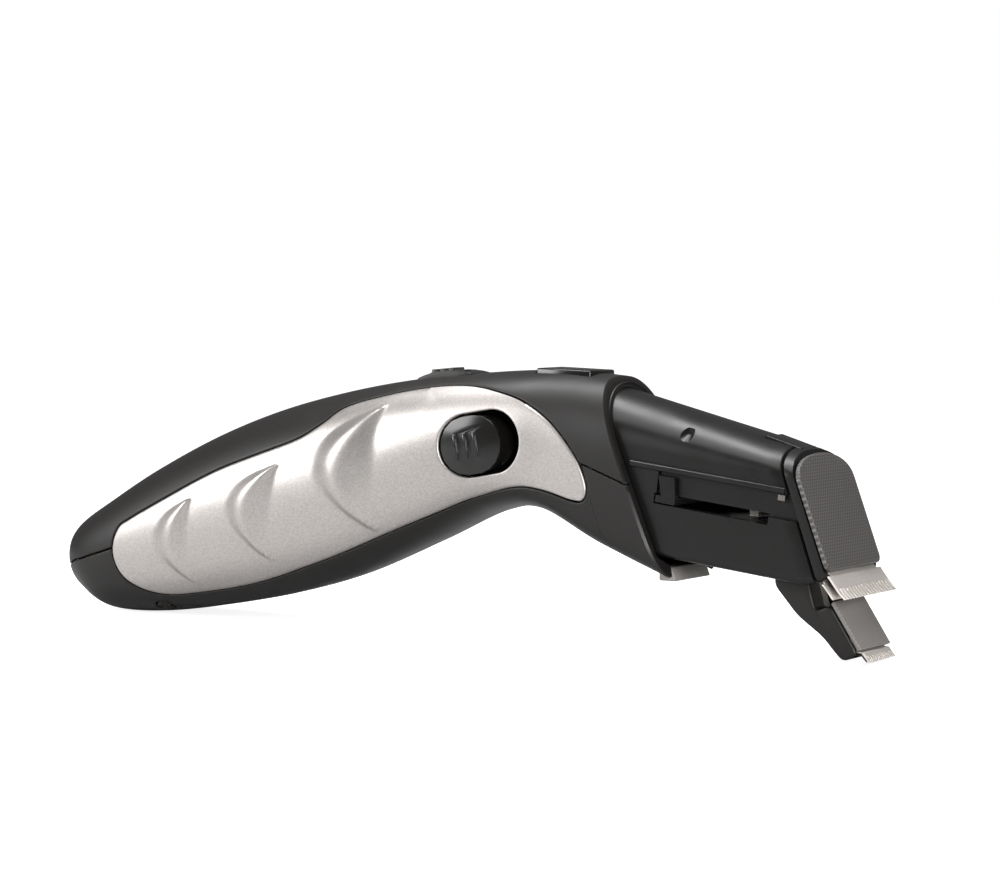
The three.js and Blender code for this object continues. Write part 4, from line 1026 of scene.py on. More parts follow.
@dataclass
class SidePanels:
    """The two silver grip panels.

    Args:
        grip: the surface they follow.
        switch: place of the opening in the left panel.
        outline: station and height of points around a panel.
        wall, rim: thickness and radius of the edge.
        columns, rows: of the skin's grid.
        opening_half, opening_radius: half length and radius of the opening, in mm.
        patch_rim: how far past the opening its patch of rings reaches at the least, in mm.
    """

    grip: GripSurface
    switch: SideFrame
    outline: tuple[tuple[float, float], ...] = (
        (3.61, 0.02), (3.72, 0.29), (3.96, 0.35), (4.6, 0.42), (5.37, 0.5), (6.15, 0.53), (6.71, 0.57),
        (7.06, 0.67), (7.35, 0.79), (7.89, 0.83), (8.6, 0.85), (9.25, 0.81), (9.87, 0.68), (10.34, 0.56),
        (10.81, 0.38), (11.14, 0.08), (11.22, -0.22), (11.1, -0.42), (10.9, -0.49), (10.53, -0.54),
        (10.09, -0.62), (9.38, -0.74), (8.7, -0.77), (8.0, -0.75), (7.33, -0.75), (6.62, -0.77),
        (5.84, -0.81), (5.09, -0.81), (4.36, -0.76), (3.91, -0.57), (3.69, -0.32),
    )  # fmt: skip
    wall: float = 1.3
    rim: float = 0.4
    columns: int = 300
    rows: int = 96
    opening_half: float = 8.65
    opening_radius: float = 6.0
    patch_rim: float = 1.6

    def curve(self) -> np.ndarray:
        """The outline as a fine closed curve in stations and heights."""
        return spline(self.outline, 24)

    def runs(self, gap: float = 0.0) -> tuple[np.ndarray, np.ndarray]:
        """The upper and lower edge as heights over stations.

        To grow the outline, its points are moved in the side plane, and the move is turned into
        stations and heights by the surface's two slopes there.

        Args:
            gap: how far the outline is grown, in mm.

        Returns:
            The upper and the lower edge, each from the panel's rear end to its front end.
        """
        curve = self.curve()
        if gap:
            step = 1e-3
            t, h = curve[:, 0], curve[:, 1]
            plane = self.grip.side(t, h)
            per_t = (self.grip.side(t + step, h) - plane) / step
            per_h = (self.grip.side(t, h + step) - plane) / step
            move = moved_out(plane, gap) - plane
            curve = curve + np.linalg.solve(np.stack([per_t, per_h], -1), move[..., None])[..., 0]
        first, last = int(np.argmin(curve[:, 0])), int(np.argmax(curve[:, 0]))
        turned = np.roll(curve, -first, 0)
        last = (last - first) % len(curve)
        upper, lower = turned[: last + 1], np.vstack([turned[last:], turned[:1]])[::-1]
        for run in (upper, lower):
            run[:, 0] = np.maximum.accumulate(run[:, 0])
        return upper, lower

    def skin(
        self, points: np.ndarray, t: np.ndarray, h: np.ndarray, side: int, drop: np.ndarray
    ) -> np.ndarray:
        """Skin points: the section's half-width, the ridges' lift and less the edge's drop."""
        y = self.grip.half(t, h) + self.grip.lift(points) - drop
        return np.stack([points[..., 0], side * y, points[..., 1]], -1)

    def plain(self, side: int) -> tuple[np.ndarray, np.ndarray]:
        """One panel without its opening.

        The columns' stations run as the cosine of an even angle, so they close up at both ends.

        Args:
            side: -1 for the left panel and 1 for the right.

        Returns:
            The grid of skin points, and the side-plane points below them.
        """
        upper, lower = self.runs()
        rear, front = upper[0, 0], upper[-1, 0]
        t = (rear + front) / 2 - np.cos(np.linspace(0, math.pi, self.columns)) * (front - rear) / 2
        top, foot = np.interp(t, *upper.T), np.interp(t, *lower.T)
        length = np.linalg.norm(self.grip.side(t, top) - self.grip.side(t, foot), axis=-1)
        share = edged_rows(length, self.rows)
        h = foot[:, None] + (top - foot)[:, None] * share
        tt = np.broadcast_to(t[:, None], h.shape)
        points = self.grip.side(tt, h)
        edge = self.grip.side(*self.curve().T)
        drop = quarter_drop(distance_to(points, np.vstack([edge, edge[:1]])), self.rim)
        return self.skin(points, tt, h, side, drop), points

    def opening(self, points: np.ndarray) -> tuple[slice, slice]:
        """The rectangle of grid cells that the opening's patch fills.

        Args:
            points: the grid's side-plane points.

        Returns:
            The ranges of its columns and of its rows.
        """
        along, out = self.switch.local(points)
        wide, tall = self.opening_half + self.patch_rim, self.opening_radius + self.patch_rim
        found = np.argwhere((np.abs(along) < wide) & (np.abs(out) < tall))
        (i0, j0), (i1, j1) = found.min(0) - 1, found.max(0) + 1
        return slice(i0, i1 + 1), slice(j0, j1 + 1)

    def patch(self, points: np.ndarray, side: int) -> np.ndarray:
        """Rings from the opening's edge out to the rectangle's own border.

        Each border point is joined to the nearest point of the slot by a straight line, and the rings
        lie along these lines.

        Args:
            points: the rectangle's side-plane points.
            side: -1 for the left panel and 1 for the right.

        Returns:
            The rings' skin points, from the opening outwards.
        """
        border = np.vstack([points[:-1, 0], points[-1, :-1], points[:0:-1, -1], points[0, :0:-1]])
        along, out = self.switch.local(border)
        run, radius = self.opening_half - self.opening_radius, self.opening_radius
        core = np.clip(along, -run, run)
        reach = np.hypot(along - core, out)
        edge = self.switch.at(core + (along - core) / reach * radius, out / reach * radius)
        length = np.linalg.norm(border - edge, axis=-1)
        steps = np.array(EDGE_STEPS)[:, None]
        near = np.minimum(steps / length, 0.6 * np.arange(len(EDGE_STEPS))[:, None] / len(EDGE_STEPS))
        share = np.vstack([near, near[-1] + (1 - near[-1]) * np.linspace(0, 1, 6)[1:, None]])
        rings = edge[None] + (border - edge)[None] * share[..., None]
        t, h = self.grip.find(rings)
        drop = quarter_drop(share * length[None], self.rim)
        return self.skin(rings, t, h, side, drop)

    def build(self) -> None:
        """Makes and dresses both panels. The left one has its grid's opening filled by the patch."""
        for side, node in ((-1, "panel_left"), (1, "panel_right")):
            skin, points = self.plain(side)
            faces = grid_faces(*skin.shape[:2])
            vertices = skin.reshape(-1, 3)
            if side < 0:
                across, up = self.opening(points)
                cells = np.zeros(np.array(skin.shape[:2]) - 1, bool)
                cells[across.start : across.stop - 1, up.start : up.stop - 1] = True
                rings = self.patch(points[across, up], side)
                extra = grid_faces(*rings.shape[:2], wrap=True, first=len(vertices))
                vertices = np.vstack([vertices, rings.reshape(-1, 3)])
                faces = np.vstack([faces[~cells.reshape(-1)], extra])
            piece = trimmed(node + "_fine", vertices, faces)
            face_away(piece, self.grip.axis())
            applied(thicken(piece, self.wall))
            smooth(piece, 40)
            place(piece, Body.HANDLE, "panel_silver", PANEL_PAINT, node)


# ---- Head -------------------------------------------------------------------------------------


@dataclass(frozen=True)
class HeadSurface:
    """The head's outer surface between the collar (share 0) and the front face (share 1).

    A ring is a rounded box with an arched top: across = half * cos^(2/n), height = base + arch *
    sin^(2/n), on the line from the foot point to the top point of that share.

    Args:
        grip: the grip that the head starts from.
        reach, fall: from the collar's top to the foot of the face, in mm.
        half_width, rear_half_width: half-widths at the face and at the collar.
    """

    grip: GripSurface
    reach: float = 48.3
    fall: float = 33.3
    half_width: float = 11.0
    rear_half_width: float = 10.4

    def collar_top(self) -> np.ndarray:
        """Side-plane point at the top of the collar's face."""
        return self.grip.side(COLLAR, 1.0)

    def plate_foot(self) -> np.ndarray:
        """Side-plane point at the foot of the faceplate."""
        return self.collar_top() + np.array([self.reach, -self.fall])

    def lines(self) -> tuple[tuple[float, np.ndarray, np.ndarray], ...]:
        """Share, top point and foot point of the head's four section lines.

        Returns:
            The four lines, from the collar to the front face.
        """
        collar, foot = self.collar_top(), self.plate_foot()
        return (
            (0.0, collar + [1.2, -2.3], collar + [14, -32.7]),
            (0.84, foot + [-13.6, 22.2], foot + [-5.4, -2.9]),
            (0.93, foot + [-10, 21.2], foot + [-1.9, -2.1]),
            (1.0, foot + [-7.4, 20.3], foot),
        )

    def line(self, share: float) -> tuple[np.ndarray, np.ndarray]:
        """Top and foot point at a share, straight between the section lines.

        Args:
            share: from 0 at the collar to 1 at the face, or a little beyond either.

        Returns:
            The top point and the foot point.
        """
        lines = self.lines()
        k = 0 if share < 0.84 else 1 if share < 0.93 else 2
        (s0, top0, foot0), (s1, top1, foot1) = lines[k], lines[k + 1]
        f = (share - s0) / (s1 - s0)
        return top0 + (top1 - top0) * f, foot0 + (foot1 - foot0) * f

    def outline(self, share: float, inset: float, steps: int = 40) -> np.ndarray:
        """A ring's points as distance across and height above its foot, drawn in by an inset.

        Args:
            share: place of the ring.
            inset: how far it is drawn in, in mm.
            steps: points on each half of the arch.

        Returns:
            The ring's points, from the foot's right end round to its left end.
        """
        top, foot = self.line(share)
        height = float(np.linalg.norm(top - foot))
        s = min(max(share, 0.0), 1.0)
        half = self.rear_half_width + (self.half_width - self.rear_half_width) * s - inset
        arch, power = 11 - 5.8 * s - inset / 2, 2 / (2 + 0.2 * s)
        corner = max(1.4 - inset / 2, 0.3)
        q = np.linspace(0, math.pi / 2, steps)
        round_ = np.linspace(0, math.pi / 2, 8)[:-1]
        foot_y = half - corner + corner * np.sin(round_)
        foot_v = inset + corner - corner * np.cos(round_)
        side = np.linspace(inset + corner, height - inset - arch, 20)[:-1]
        across = np.concatenate([foot_y, np.full(19, half), half * np.cos(q) ** power])
        rise = np.concatenate([foot_v, side, height - inset - arch + arch * np.sin(q) ** power])
        across[-1] = 0.0
        return np.vstack([np.column_stack([across, rise]), np.column_stack([-across, rise])[-2::-1]])

    def ring(self, share: float, inset: float = 0.0) -> np.ndarray:
        """A ring of points around the head.

        Args:
            share: place of the ring.
            inset: how far it is drawn in, in mm.

        Returns:
            The points in mm.
        """
        top, foot = self.line(share)
        flat = self.outline(share, inset)
        up = (top - foot) / np.linalg.norm(top - foot)
        plane = foot + flat[:, 1:] * up
        return np.column_stack([plane[:, 0], flat[:, 0], plane[:, 1]])

    def face(self) -> SideFrame:
        """Frame of the faceplate: "along" runs down to its foot and "out" leaves its front."""
        foot = self.plate_foot()
        return SideFrame(foot[0], foot[1], slope(self.line(1.0)[0], foot))

    def crest(self, share: float) -> SideFrame:
        """Frame on the top line at a share, along the slope between shares 0.84 and 1."""
        top = self.line(share)[0]
        return SideFrame(top[0], top[1], slope(self.lines()[1][1], self.lines()[3][1]))

    def hinge(self) -> np.ndarray:
        """Side-plane point of the detail trimmer's pivot."""
        return self.plate_foot() + [-9.6, 0.8]


# ---- Shells -----------------------------------------------------------------------------------


@dataclass
class GripShells:
    """The two black shells around the panels: a spine half and a belly half.

    Args:
        grip, panels, head: the surfaces that bound them.
        wall, rim, gap: wall thickness, edge radius and clearance in mm.
        lip: width of the chamfer round the collar's face, in mm.
        rows, columns: of the skin's grid.
        seam: station and height along the joint between the two halves.
    """

    grip: GripSurface
    panels: SidePanels
    head: HeadSurface
    wall: float = 0.9
    rim: float = 0.25
    gap: float = 0.3
    lip: float = 0.55
    rows: int = 64
    columns: int = 110
    seam: tuple[tuple[float, float], ...] = (
        (0.0, -0.4), (0.76, -0.4), (2.2, -0.05), (3.0, 0.03), (11.0, 0.03), (12.0, -0.05),
    )  # fmt: skip

    def edge(self, up: bool, t: np.ndarray) -> np.ndarray:
        """Height of a shell's edge: the seam, or the panel's grown outline where that is beyond it.

        Args:
            up: True for the spine shell.
            t: stations.

        Returns:
            The heights.
        """
        turn = 1 if up else -1
        chord = self.grip.at(t)
        half_gap = self.gap / np.linalg.norm(chord[:, 0:2] - chord[:, 2:4], axis=1)
        seam = np.interp(t, *np.array(self.seam).T) + turn * half_gap
        run = self.panels.runs(self.gap)[0 if up else 1]
        outline = np.interp(t, run[:, 0], run[:, 1], left=-9 * turn, right=-9 * turn)
        return np.maximum(seam, outline) if up else np.minimum(seam, outline)

    def stations(self, up: bool) -> np.ndarray:
        """Columns from heel to collar, which follow every turn of the panel's outline.

        Args:
            up: True for the spine shell.

        Returns:
            The stations.
        """
        run = self.panels.runs(self.gap)[0 if up else 1][:, 0]
        close = np.array([0.002, 0.02, 0.06])
        near = np.concatenate([run[0] - close, run[-1] + close])
        t = np.sort(np.concatenate([np.linspace(0, 11.96, self.columns), run[::2], near]))
        return t[np.concatenate([[True], np.diff(t) > 2e-3])]

    def section(self, t: np.ndarray, angle: np.ndarray) -> np.ndarray:
        """Skin points by polar angle about the chord's middle.

        The radius is (|cos / w|^n + |sin / H|^n)^(-1/n), where H is half the chord.

        Args:
            t, angle: stations and polar angles.

        Returns:
            The skin points in mm.
        """
        s = self.grip.at(t)
        n = np.where(np.sin(angle) > 0, s[..., 5], s[..., 6])
        tall = np.linalg.norm(s[..., 0:2] - s[..., 2:4], axis=-1) / 2
        c, v = np.cos(angle), np.sin(angle)
        radius = (np.abs(c / s[..., 4]) ** n + np.abs(v / tall) ** n) ** (-1 / n)
        plane = self.grip.side(t, np.clip(radius * v / tall, -1, 1))
        return np.stack([plane[..., 0], -radius * c, plane[..., 1]], -1)

    def heel(self, angle: np.ndarray) -> np.ndarray:
        """Columns of the heel's flat end, from inside the plate's hole out to the first section.

        The hole is a superellipse of exponent 8, which is nearly a rectangle with round corners, by
        the same polar formula as a section.

        Args:
            angle: polar angles of the first section's points.

        Returns:
            The columns, from the inside outwards.
        """
        first = self.section(np.zeros_like(angle), angle)
        low, high = node_box("heel_plate")
        wide, tall = (high - low)[1] / 2 + self.gap, (high - low)[2] / 2 + self.gap
        c, v = np.cos(angle), np.sin(angle)
        radius = (np.abs(c / wide) ** 8 + np.abs(v / tall) ** 8) ** (-1 / 8)
        hole = np.stack([np.full_like(c, low[0]), -radius * c, (low + high)[2] / 2 + radius * v], -1)
        inner = hole + np.array([1.5, 0, 0])
        shares = np.array([0.0, 0.04, 0.3, 0.6, 0.85])[:, None, None]
        return np.vstack([inner[None], hole[None] + (first - hole)[None] * shares])

    def collar(self, angle: np.ndarray) -> np.ndarray:
        """Columns of the collar's face, from its chamfer in to the head and back along the head.

        The head's outline in the collar's plane is read by polar angle about the chord's middle.

        Args:
            angle: polar angles of the last section's points.

        Returns:
            The columns, from the outside inwards.
        """
        t = np.full_like(angle, COLLAR)
        last = self.section(t, angle)
        s = self.grip.at(COLLAR)
        middle = (s[0:2] + s[2:4]) / 2
        up = (s[0:2] - s[2:4]) / np.linalg.norm(s[0:2] - s[2:4])
        top, foot = self.head.line(0.0)
        flat = self.head.outline(0.0, -self.gap)
        rise = (foot - middle) @ up + flat[:, 1] * float(((top - foot) / np.linalg.norm(top - foot)) @ up)
        polar = np.arctan2(rise, flat[:, 0])
        order = np.argsort(polar)
        radius = np.hypot(flat[:, 0], rise)
        v = (last[:, [0, 2]] - middle) @ up
        want = np.arctan2(v, last[:, 1])
        r = np.interp(want, polar[order], radius[order], period=2 * math.pi)
        plane = middle + (r * np.sin(want))[:, None] * up
        hole = np.column_stack([plane[:, 0], r * np.cos(want), plane[:, 1]])
        length = np.linalg.norm(last - hole, axis=1)[:, None]
        bevel = np.minimum(self.lip / length, 0.4)
        axis = np.append(self.head.line(0.84)[0] - top, 0)[[0, 2, 1]]
        back = hole - 2.0 * axis / np.linalg.norm(axis)
        outer = last + (hole - last) * bevel
        shares = (0.0, 0.25, 0.6, 0.97)
        return np.stack([outer + (hole - outer) * k for k in shares] + [hole - 0.15 * axis / 30, back])

    def notch(self, grid: np.ndarray) -> np.ndarray:
        """The cells of the belly grid that the release button's notch leaves open.

        Args:
            grid: the shell's points, column by column.

        Returns:
            True for each cell that is left out.
        """
        low, high = node_box("trimmer_release")
        middle = grid.shape[1] // 2
        ahead = np.arange(grid.shape[0]) >= np.argmax(grid[:, middle, 0] > low[0] - self.gap)
        across = np.abs(grid[-3, :, 1]) < high[1] + self.gap
        return (ahead[:, None] & across[None])[:-1, :-1]

    def half(self, up: bool) -> bpy.types.Object:
        """One shell as a skin with rounded edges, then a wall.

        Args:
            up: True for the spine shell.

        Returns:
            The shell, before its pockets are cut.
        """
        t = self.stations(up)
        s = self.grip.at(t)
        edge = self.edge(up, t)
        n = np.where(edge > 0, s[:, 5], s[:, 6])
        tall = np.linalg.norm(s[:, 0:2] - s[:, 2:4], axis=1) / 2
        start = np.arctan2(edge * tall, s[:, 4] * (1 - np.abs(edge) ** n) ** (1 / n))
        end = math.pi - start if up else -math.pi - start
        reach = np.linalg.norm(s[:, 0:2] - s[:, 2:4], axis=1) * (1 - np.abs(edge)) + 2 * s[:, 4]
        share = edged_rows(np.maximum(reach, 6), self.rows)
        angle = start[:, None] + (end - start)[:, None] * share
        skin = self.section(np.broadcast_to(t[:, None], angle.shape), angle)
        border = skin[:, 0, :][:, [0, 2]]
        across, along = np.gradient(skin, axis=0), np.gradient(skin, axis=1)
        normal = np.cross(across, along)
        normal /= np.maximum(np.linalg.norm(normal, axis=-1), 1e-9)[..., None]
        centre = self.grip.side(t, np.zeros_like(t))
        outward = skin - np.stack([centre[:, 0], 0 * t, centre[:, 1]], -1)[:, None]
        normal *= np.sign(np.sum(normal * outward, -1))[..., None]
        skin = skin - normal * quarter_drop(distance_to(skin[..., [0, 2]], border), self.rim)[..., None]
        grid = np.concatenate([self.heel(angle[0]), skin, self.collar(angle[-1])])
        name = "spine_shell_fine" if up else "belly_shell_fine"
        faces = grid_faces(*grid.shape[:2])
        if not up:
            faces = faces[~self.notch(grid).reshape(-1)]
        piece = trimmed(name, grid.reshape(-1, 3), faces)
        face_away(piece, self.grip.axis())
        return applied(thicken(piece, self.wall))

    def build(self, cutters: dict[bool, list[bpy.types.Object]]) -> None:
        """Makes both shells, cuts their pockets and dresses them.

        Args:
            cutters: the pockets' solids, with True for the spine shell's.
        """
        for up, node in ((True, "spine_shell"), (False, "belly_shell")):
            piece = self.half(up)
            if cutters[up]:
                applied(piece, cutters[up])
            smooth(piece, 38)
            place(piece, Body.HANDLE, "shell_black", SHELL_ABS, node)


# ---- Studio -----------------------------------------------------------------------------------


@dataclass(frozen=True)
class Studio:
    """Camera, floor and light.

    Args:
        azimuth, elevation: direction of the camera in degrees.
        distance, lens: in mm.
        target: the point that it looks at, in mm.
        fill: strength of the even light from all round.
        floor_glow: strength of the floor's glow.
        floor_half: half the floor's side, in mm.
    """

    azimuth: float = 32.0
    elevation: float = 3.3
    distance: float = 600.0
    lens: float = 112.32
    target: tuple[float, float, float] = (10.133, 0.0, 37.2)
    fill: float = 0.16
    floor_glow: float = 0.85
    floor_half: float = 4000.0

    def camera(self) -> None:
        """A camera at the distance from the target, without roll or shift."""
        a, e = math.radians(self.azimuth), math.radians(self.elevation)
        back = Vector((math.sin(a) * math.cos(e), -math.cos(a) * math.cos(e), math.sin(e)))
        data = bpy.data.cameras.new("camera")
        data.lens, data.sensor_width = self.lens, 36.0
        data.clip_start, data.clip_end = 0.02, 20.0
        made = bpy.data.objects.new("camera", data)
        made.location = (Vector(self.target) + self.distance * back) * MM
        made.rotation_mode = "QUATERNION"
        made.rotation_quaternion = (-back).to_track_quat("-Z", "Y")
        bpy.context.scene.collection.objects.link(made)
        bpy.context.scene.camera = made

    def floor(self) -> None:
        """A wide white floor, a hair under the trimmer, which glows to the camera only."""
        corners = np.array([[-1, -1], [1, -1], [1, 1], [-1, 1]]) * self.floor_half
        made = new_piece("floor", np.column_stack([corners, np.full(4, -0.02)]), [[0, 1, 2, 3]])
        paper = Finish("white_acrylic", "#c4c4c4", "#c0c0c0", 0.9, 0.02, grain=1.5, relief=0.01, cloud=60)
        material = paper.material()
        tree = material.node_tree
        shader = next(n for n in tree.nodes if n.type == "BSDF_PRINCIPLED")
        shader.inputs["Emission Color"].default_value = (1, 1, 1, 1)
        seen = add(tree, "ShaderNodeLightPath").outputs["Is Camera Ray"]
        glow = add(tree, "ShaderNodeMath", {0: seen, 1: self.floor_glow}, operation="MULTIPLY")
        tree.links.new(glow.outputs[0], shader.inputs["Emission Strength"])
        made.data.materials.append(material)

    def world(self) -> None:
        """White behind the object, and a soft even fill on it."""
        world = bpy.data.worlds.new("studio")
        world.use_nodes = True
        tree = world.node_tree
        tree.nodes.clear()
        seen = add(tree, "ShaderNodeBackground", {"Color": (1, 1, 1, 1), "Strength": 1.0})
        fill = add(tree, "ShaderNodeBackground", {"Color": (1, 1, 1, 1), "Strength": self.fill})
        ray = add(tree, "ShaderNodeLightPath")
        both = add(tree, "ShaderNodeMixShader", {"Fac": ray.outputs["Is Camera Ray"]})
        tree.links.new(fill.outputs[0], both.inputs[1])
        tree.links.new(seen.outputs[0], both.inputs[2])
        add(tree, "ShaderNodeOutputWorld", {"Surface": both.outputs[0]})
        bpy.context.scene.world = world
        bpy.context.scene.view_settings.view_transform = "Standard"

    def lamp(
        self, name: str, spot: Sequence[float], aim: Sequence[float], size: Sequence[float], watts: float
    ) -> None:
        """A soft box at a spot, which looks at a point.

        Args:
            name: of the light.
            spot, aim: where it stands and where it looks, in mm.
            size: of the box in mm.
            watts: its power.
        """
        data = bpy.data.lights.new(name, "AREA")
        data.shape, data.size, data.size_y, data.energy = "RECTANGLE", size[0] * MM, size[1] * MM, watts
        made = bpy.data.objects.new(name, data)
        made.location = Vector(spot) * MM
        look = (Vector(aim) - Vector(spot)).normalized()
        made.rotation_mode = "QUATERNION"
        made.rotation_quaternion = look.to_track_quat("-Z", "Y")
        bpy.context.scene.collection.objects.link(made)

    def sun(self, direction: Sequence[float], strength: float, spread: float) -> None:
        """A broad sun, for an even floor.

        Args:
            direction: in which the light travels.
            strength: in watts per square metre.
            spread: angle of its disc in degrees.
        """
        data = bpy.data.lights.new("broad_sun", "SUN")
        data.energy, data.angle = strength, math.radians(spread)
        made = bpy.data.objects.new("broad_sun", data)
        made.rotation_mode = "QUATERNION"
        made.rotation_quaternion = Vector(direction).normalized().to_track_quat("-Z", "Y")
        bpy.context.scene.collection.objects.link(made)

    def build(self) -> None:
        """Sets everything up."""
        self.camera()
        self.floor()
        self.world()
        self.sun((0.2, 0.3, -1.0), 1.2, 40)
        self.lamp("top_strip", (-40, 60, 420), (-10, 0, 40), (420, 120), 1.9)
        self.lamp("left_box", (-420, -380, 240), (-20, 0, 30), (300, 300), 2.6)
        self.lamp("head_box", (420, -330, 160), (80, 0, 20), (200, 200), 2.2)


# ---- Head pieces ------------------------------------------------------------------------------


@dataclass
class HeadHousing:
    """The black housing between the collar and the removable blade head.

    Args:
        head: its outer surface.
        wall: its thickness in mm.
        seam: share at which the blade head starts.
        rail_slope: slope of the comb rail in degrees.
        groove_floor: from the middle plane to the bottom of the rail's groove, in mm.
        trough_half: half the width of the detail trimmer's room, in mm.
        latch: the notch for the cap's tongue, as a box on the crest.
        dimple, dimple_radii: place from the collar's top, and radii at the mouth and the foot.
    """

    head: HeadSurface
    wall: float = 2.2
    seam: float = 0.9
    rail_slope: float = -7.2
    groove_floor: float = 9.85
    trough_half: float = 6.7
    latch: tuple[float, ...] = (-5.9, -1.3, 2, 3)
    dimple: tuple[float, ...] = (18.7, -9.3)
    dimple_radii: tuple[float, ...] = (2.7, 0.7)

    def rail(self) -> tuple[SideFrame, float]:
        """Frame of the comb rail from its rear end, and its length.

        Returns:
            The frame, and the length in mm.
        """
        length = self.head.reach - 16.3
        front = self.head.plate_foot() + [-8.85, 13.49]
        ahead = SideFrame(front[0], front[1], self.rail_slope)
        rear = ahead.at(-length, 0)
        return SideFrame(rear[0], rear[1], self.rail_slope), length

    def solid(self, name: str, shares: Sequence[float], insets: Sequence[float]) -> bpy.types.Object:
        """A closed loft of head rings."""
        return rings_piece(name, [self.head.ring(s, i) for s, i in zip(shares, insets)])

    def trough(self, extra: float) -> bpy.types.Object:
        """The room under the head that the detail trimmer folds out of.

        Args:
            extra: how far it is grown, in mm.

        Returns:
            The room as a solid.
        """
        x, z = self.head.hinge()
        outline = [
            (x - 24.2 - extra, z - 12), (x + 3.4 + extra, z - 12), (x + 3.4 + extra, z + 0.5),
            (x + 0.2 + extra, z + 6.3 + extra), (x - 24.2 - extra, z + 6.3 + extra),
        ]  # fmt: skip
        half = self.trough_half + extra
        return prism("trough", np.array(outline), -half, half, 0.0)

    def cutters(self) -> list[bpy.types.Object]:
        """Grooves, slots, dimples, catch seats, the latch's notch and the hinge bore.

        Returns:
            The solids to cut away.
        """
        rail, length = self.rail()
        made = [slab("latch", self.head.crest(self.seam), self.latch, -3.5, 3.5)]
        x, z = self.head.hinge()
        made.append(rod("bore", (x, -8.8, z), (x, 8.8, z), 1.3, 1.3, 24))
        x, z = self.head.collar_top() + self.dimple
        catch = (length - 1.7, -1.8, length + 0.3, -0.2)
        boxes = (
            ("groove", (5.8, -4.8, 60, -0.2), self.groove_floor, 20),
            ("slot", (5.4, -6.3, length - 2.8, -4.3), 5, 20),
            ("catch", catch, self.groove_floor - 0.3, 12),
        )
        for side in (-1, 1):
            for name, box, near, far in boxes:
                made.append(slab(name, rail, box, *sorted((side * near, side * far))))
            made.append(rod("dimple", (x, side * 11, z), (x, side * 7.6, z), *self.dimple_radii, 40))
        return made

    def build(self) -> None:
        """Makes the housing, with its rail's ribs, and dresses it."""
        shares = [*np.linspace(-0.09, 0.894, 16), 0.8975, 0.9]
        insets = [0.0] * 16 + [0.06, 0.24]
        outer = self.solid("head_housing_fine", shares, insets)
        rail, length = self.rail()
        rib = (0, -0.2, length - 0.1, 0.9)
        ribs = [slab("rib", rail, rib, *sorted((side * 8, side * 11.3)), 0.3) for side in (-1, 1)]
        applied(outer, ribs, Solid.GROWS)
        cavity = self.solid("cavity", [-0.4, 0, 0.45, 0.84, 1], [self.wall] * 5)
        applied(cavity, [self.trough(1.0)])
        applied(outer, [cavity, self.trough(0.0), *self.cutters()])
        smooth(outer, 30)
        place(outer, Body.HANDLE, "head_black", HEAD_ABS, "head_housing")


@dataclass
class BladeHead:
    """The removable head: its cap and embossed faceplate, in front of the blades, which are made with the
    small parts.

    Args:
        head: its outer surface.
        plate, rim: thickness and edge radius of the faceplate, in mm.
        wall: thickness of the cap, in mm.
    """

    head: HeadSurface
    plate: float = 0.9
    rim: float = 0.4
    wall: float = 1.6

    def on_face(self, flat: np.ndarray, out: float) -> np.ndarray:
        """Points of a flat outline (across, height) on the face's plane, moved out of it.

        Args:
            flat: distance across and height above the foot, in mm.
            out: distance out of the plane, in mm.

        Returns:
            The points in mm.
        """
        face = self.head.face()
        plane = face.at(-flat[:, 1], out)
        return np.column_stack([plane[:, 0], flat[:, 0], plane[:, 1]])

    def faceplate(self) -> None:
        """Makes the faceplate: the head's last outline, with a quarter-round front edge."""
        q = np.linspace(0, math.pi / 2, 6)
        insets = np.concatenate([[0.1], np.zeros(2), self.rim * (1 - np.cos(q))])
        rear = [-self.plate, -self.plate + 0.1, -self.rim - 0.1]
        outs = np.concatenate([rear, self.rim * (np.sin(q) - 1)])
        rings = [self.on_face(self.head.outline(1.0, i), o) for i, o in zip(insets, outs)]
        piece = rings_piece("faceplate_fine", rings)
        smooth(piece, 40)
        place(piece, Body.BLADE_HEAD, "plate_grey", PLATE_ABS, "faceplate")

    def cap(self) -> None:
        """Makes the cap: a loft on from the housing, hollowed, with its latch's tongue and blade bay."""
        face = self.head.face()
        housing = HeadHousing(self.head)
        shares = [0.9115, 0.914, 0.93, 0.95, 0.975, 1.0, 1.05]
        piece = housing.solid("blade_cap_fine", shares, [0.2, 0.05, 0, 0, 0, 0, 0])
        room = housing.solid("room", [0.84, 0.93, 1.1], [self.wall] * 3)
        applied(piece, [room, slab("ahead", face, (-60, -1.2, 30, 20), -20, 20)])
        tongue = slab("tongue", self.head.crest(housing.seam), (-5.6, -1.0, 1.6, 0.02), -3.2, 3.2, 0.15)
        applied(piece, [tongue], Solid.GROWS)
        applied(piece, [slab("bay", face, (-8.6, -3.9, 9, 3), -9.55, 9.55)])
        smooth(piece, 30)
        place(piece, Body.BLADE_HEAD, "head_black", HEAD_ABS, "blade_cap")

    def build(self) -> None:
        """Makes the faceplate and the cap."""
        self.faceplate()
        self.cap()


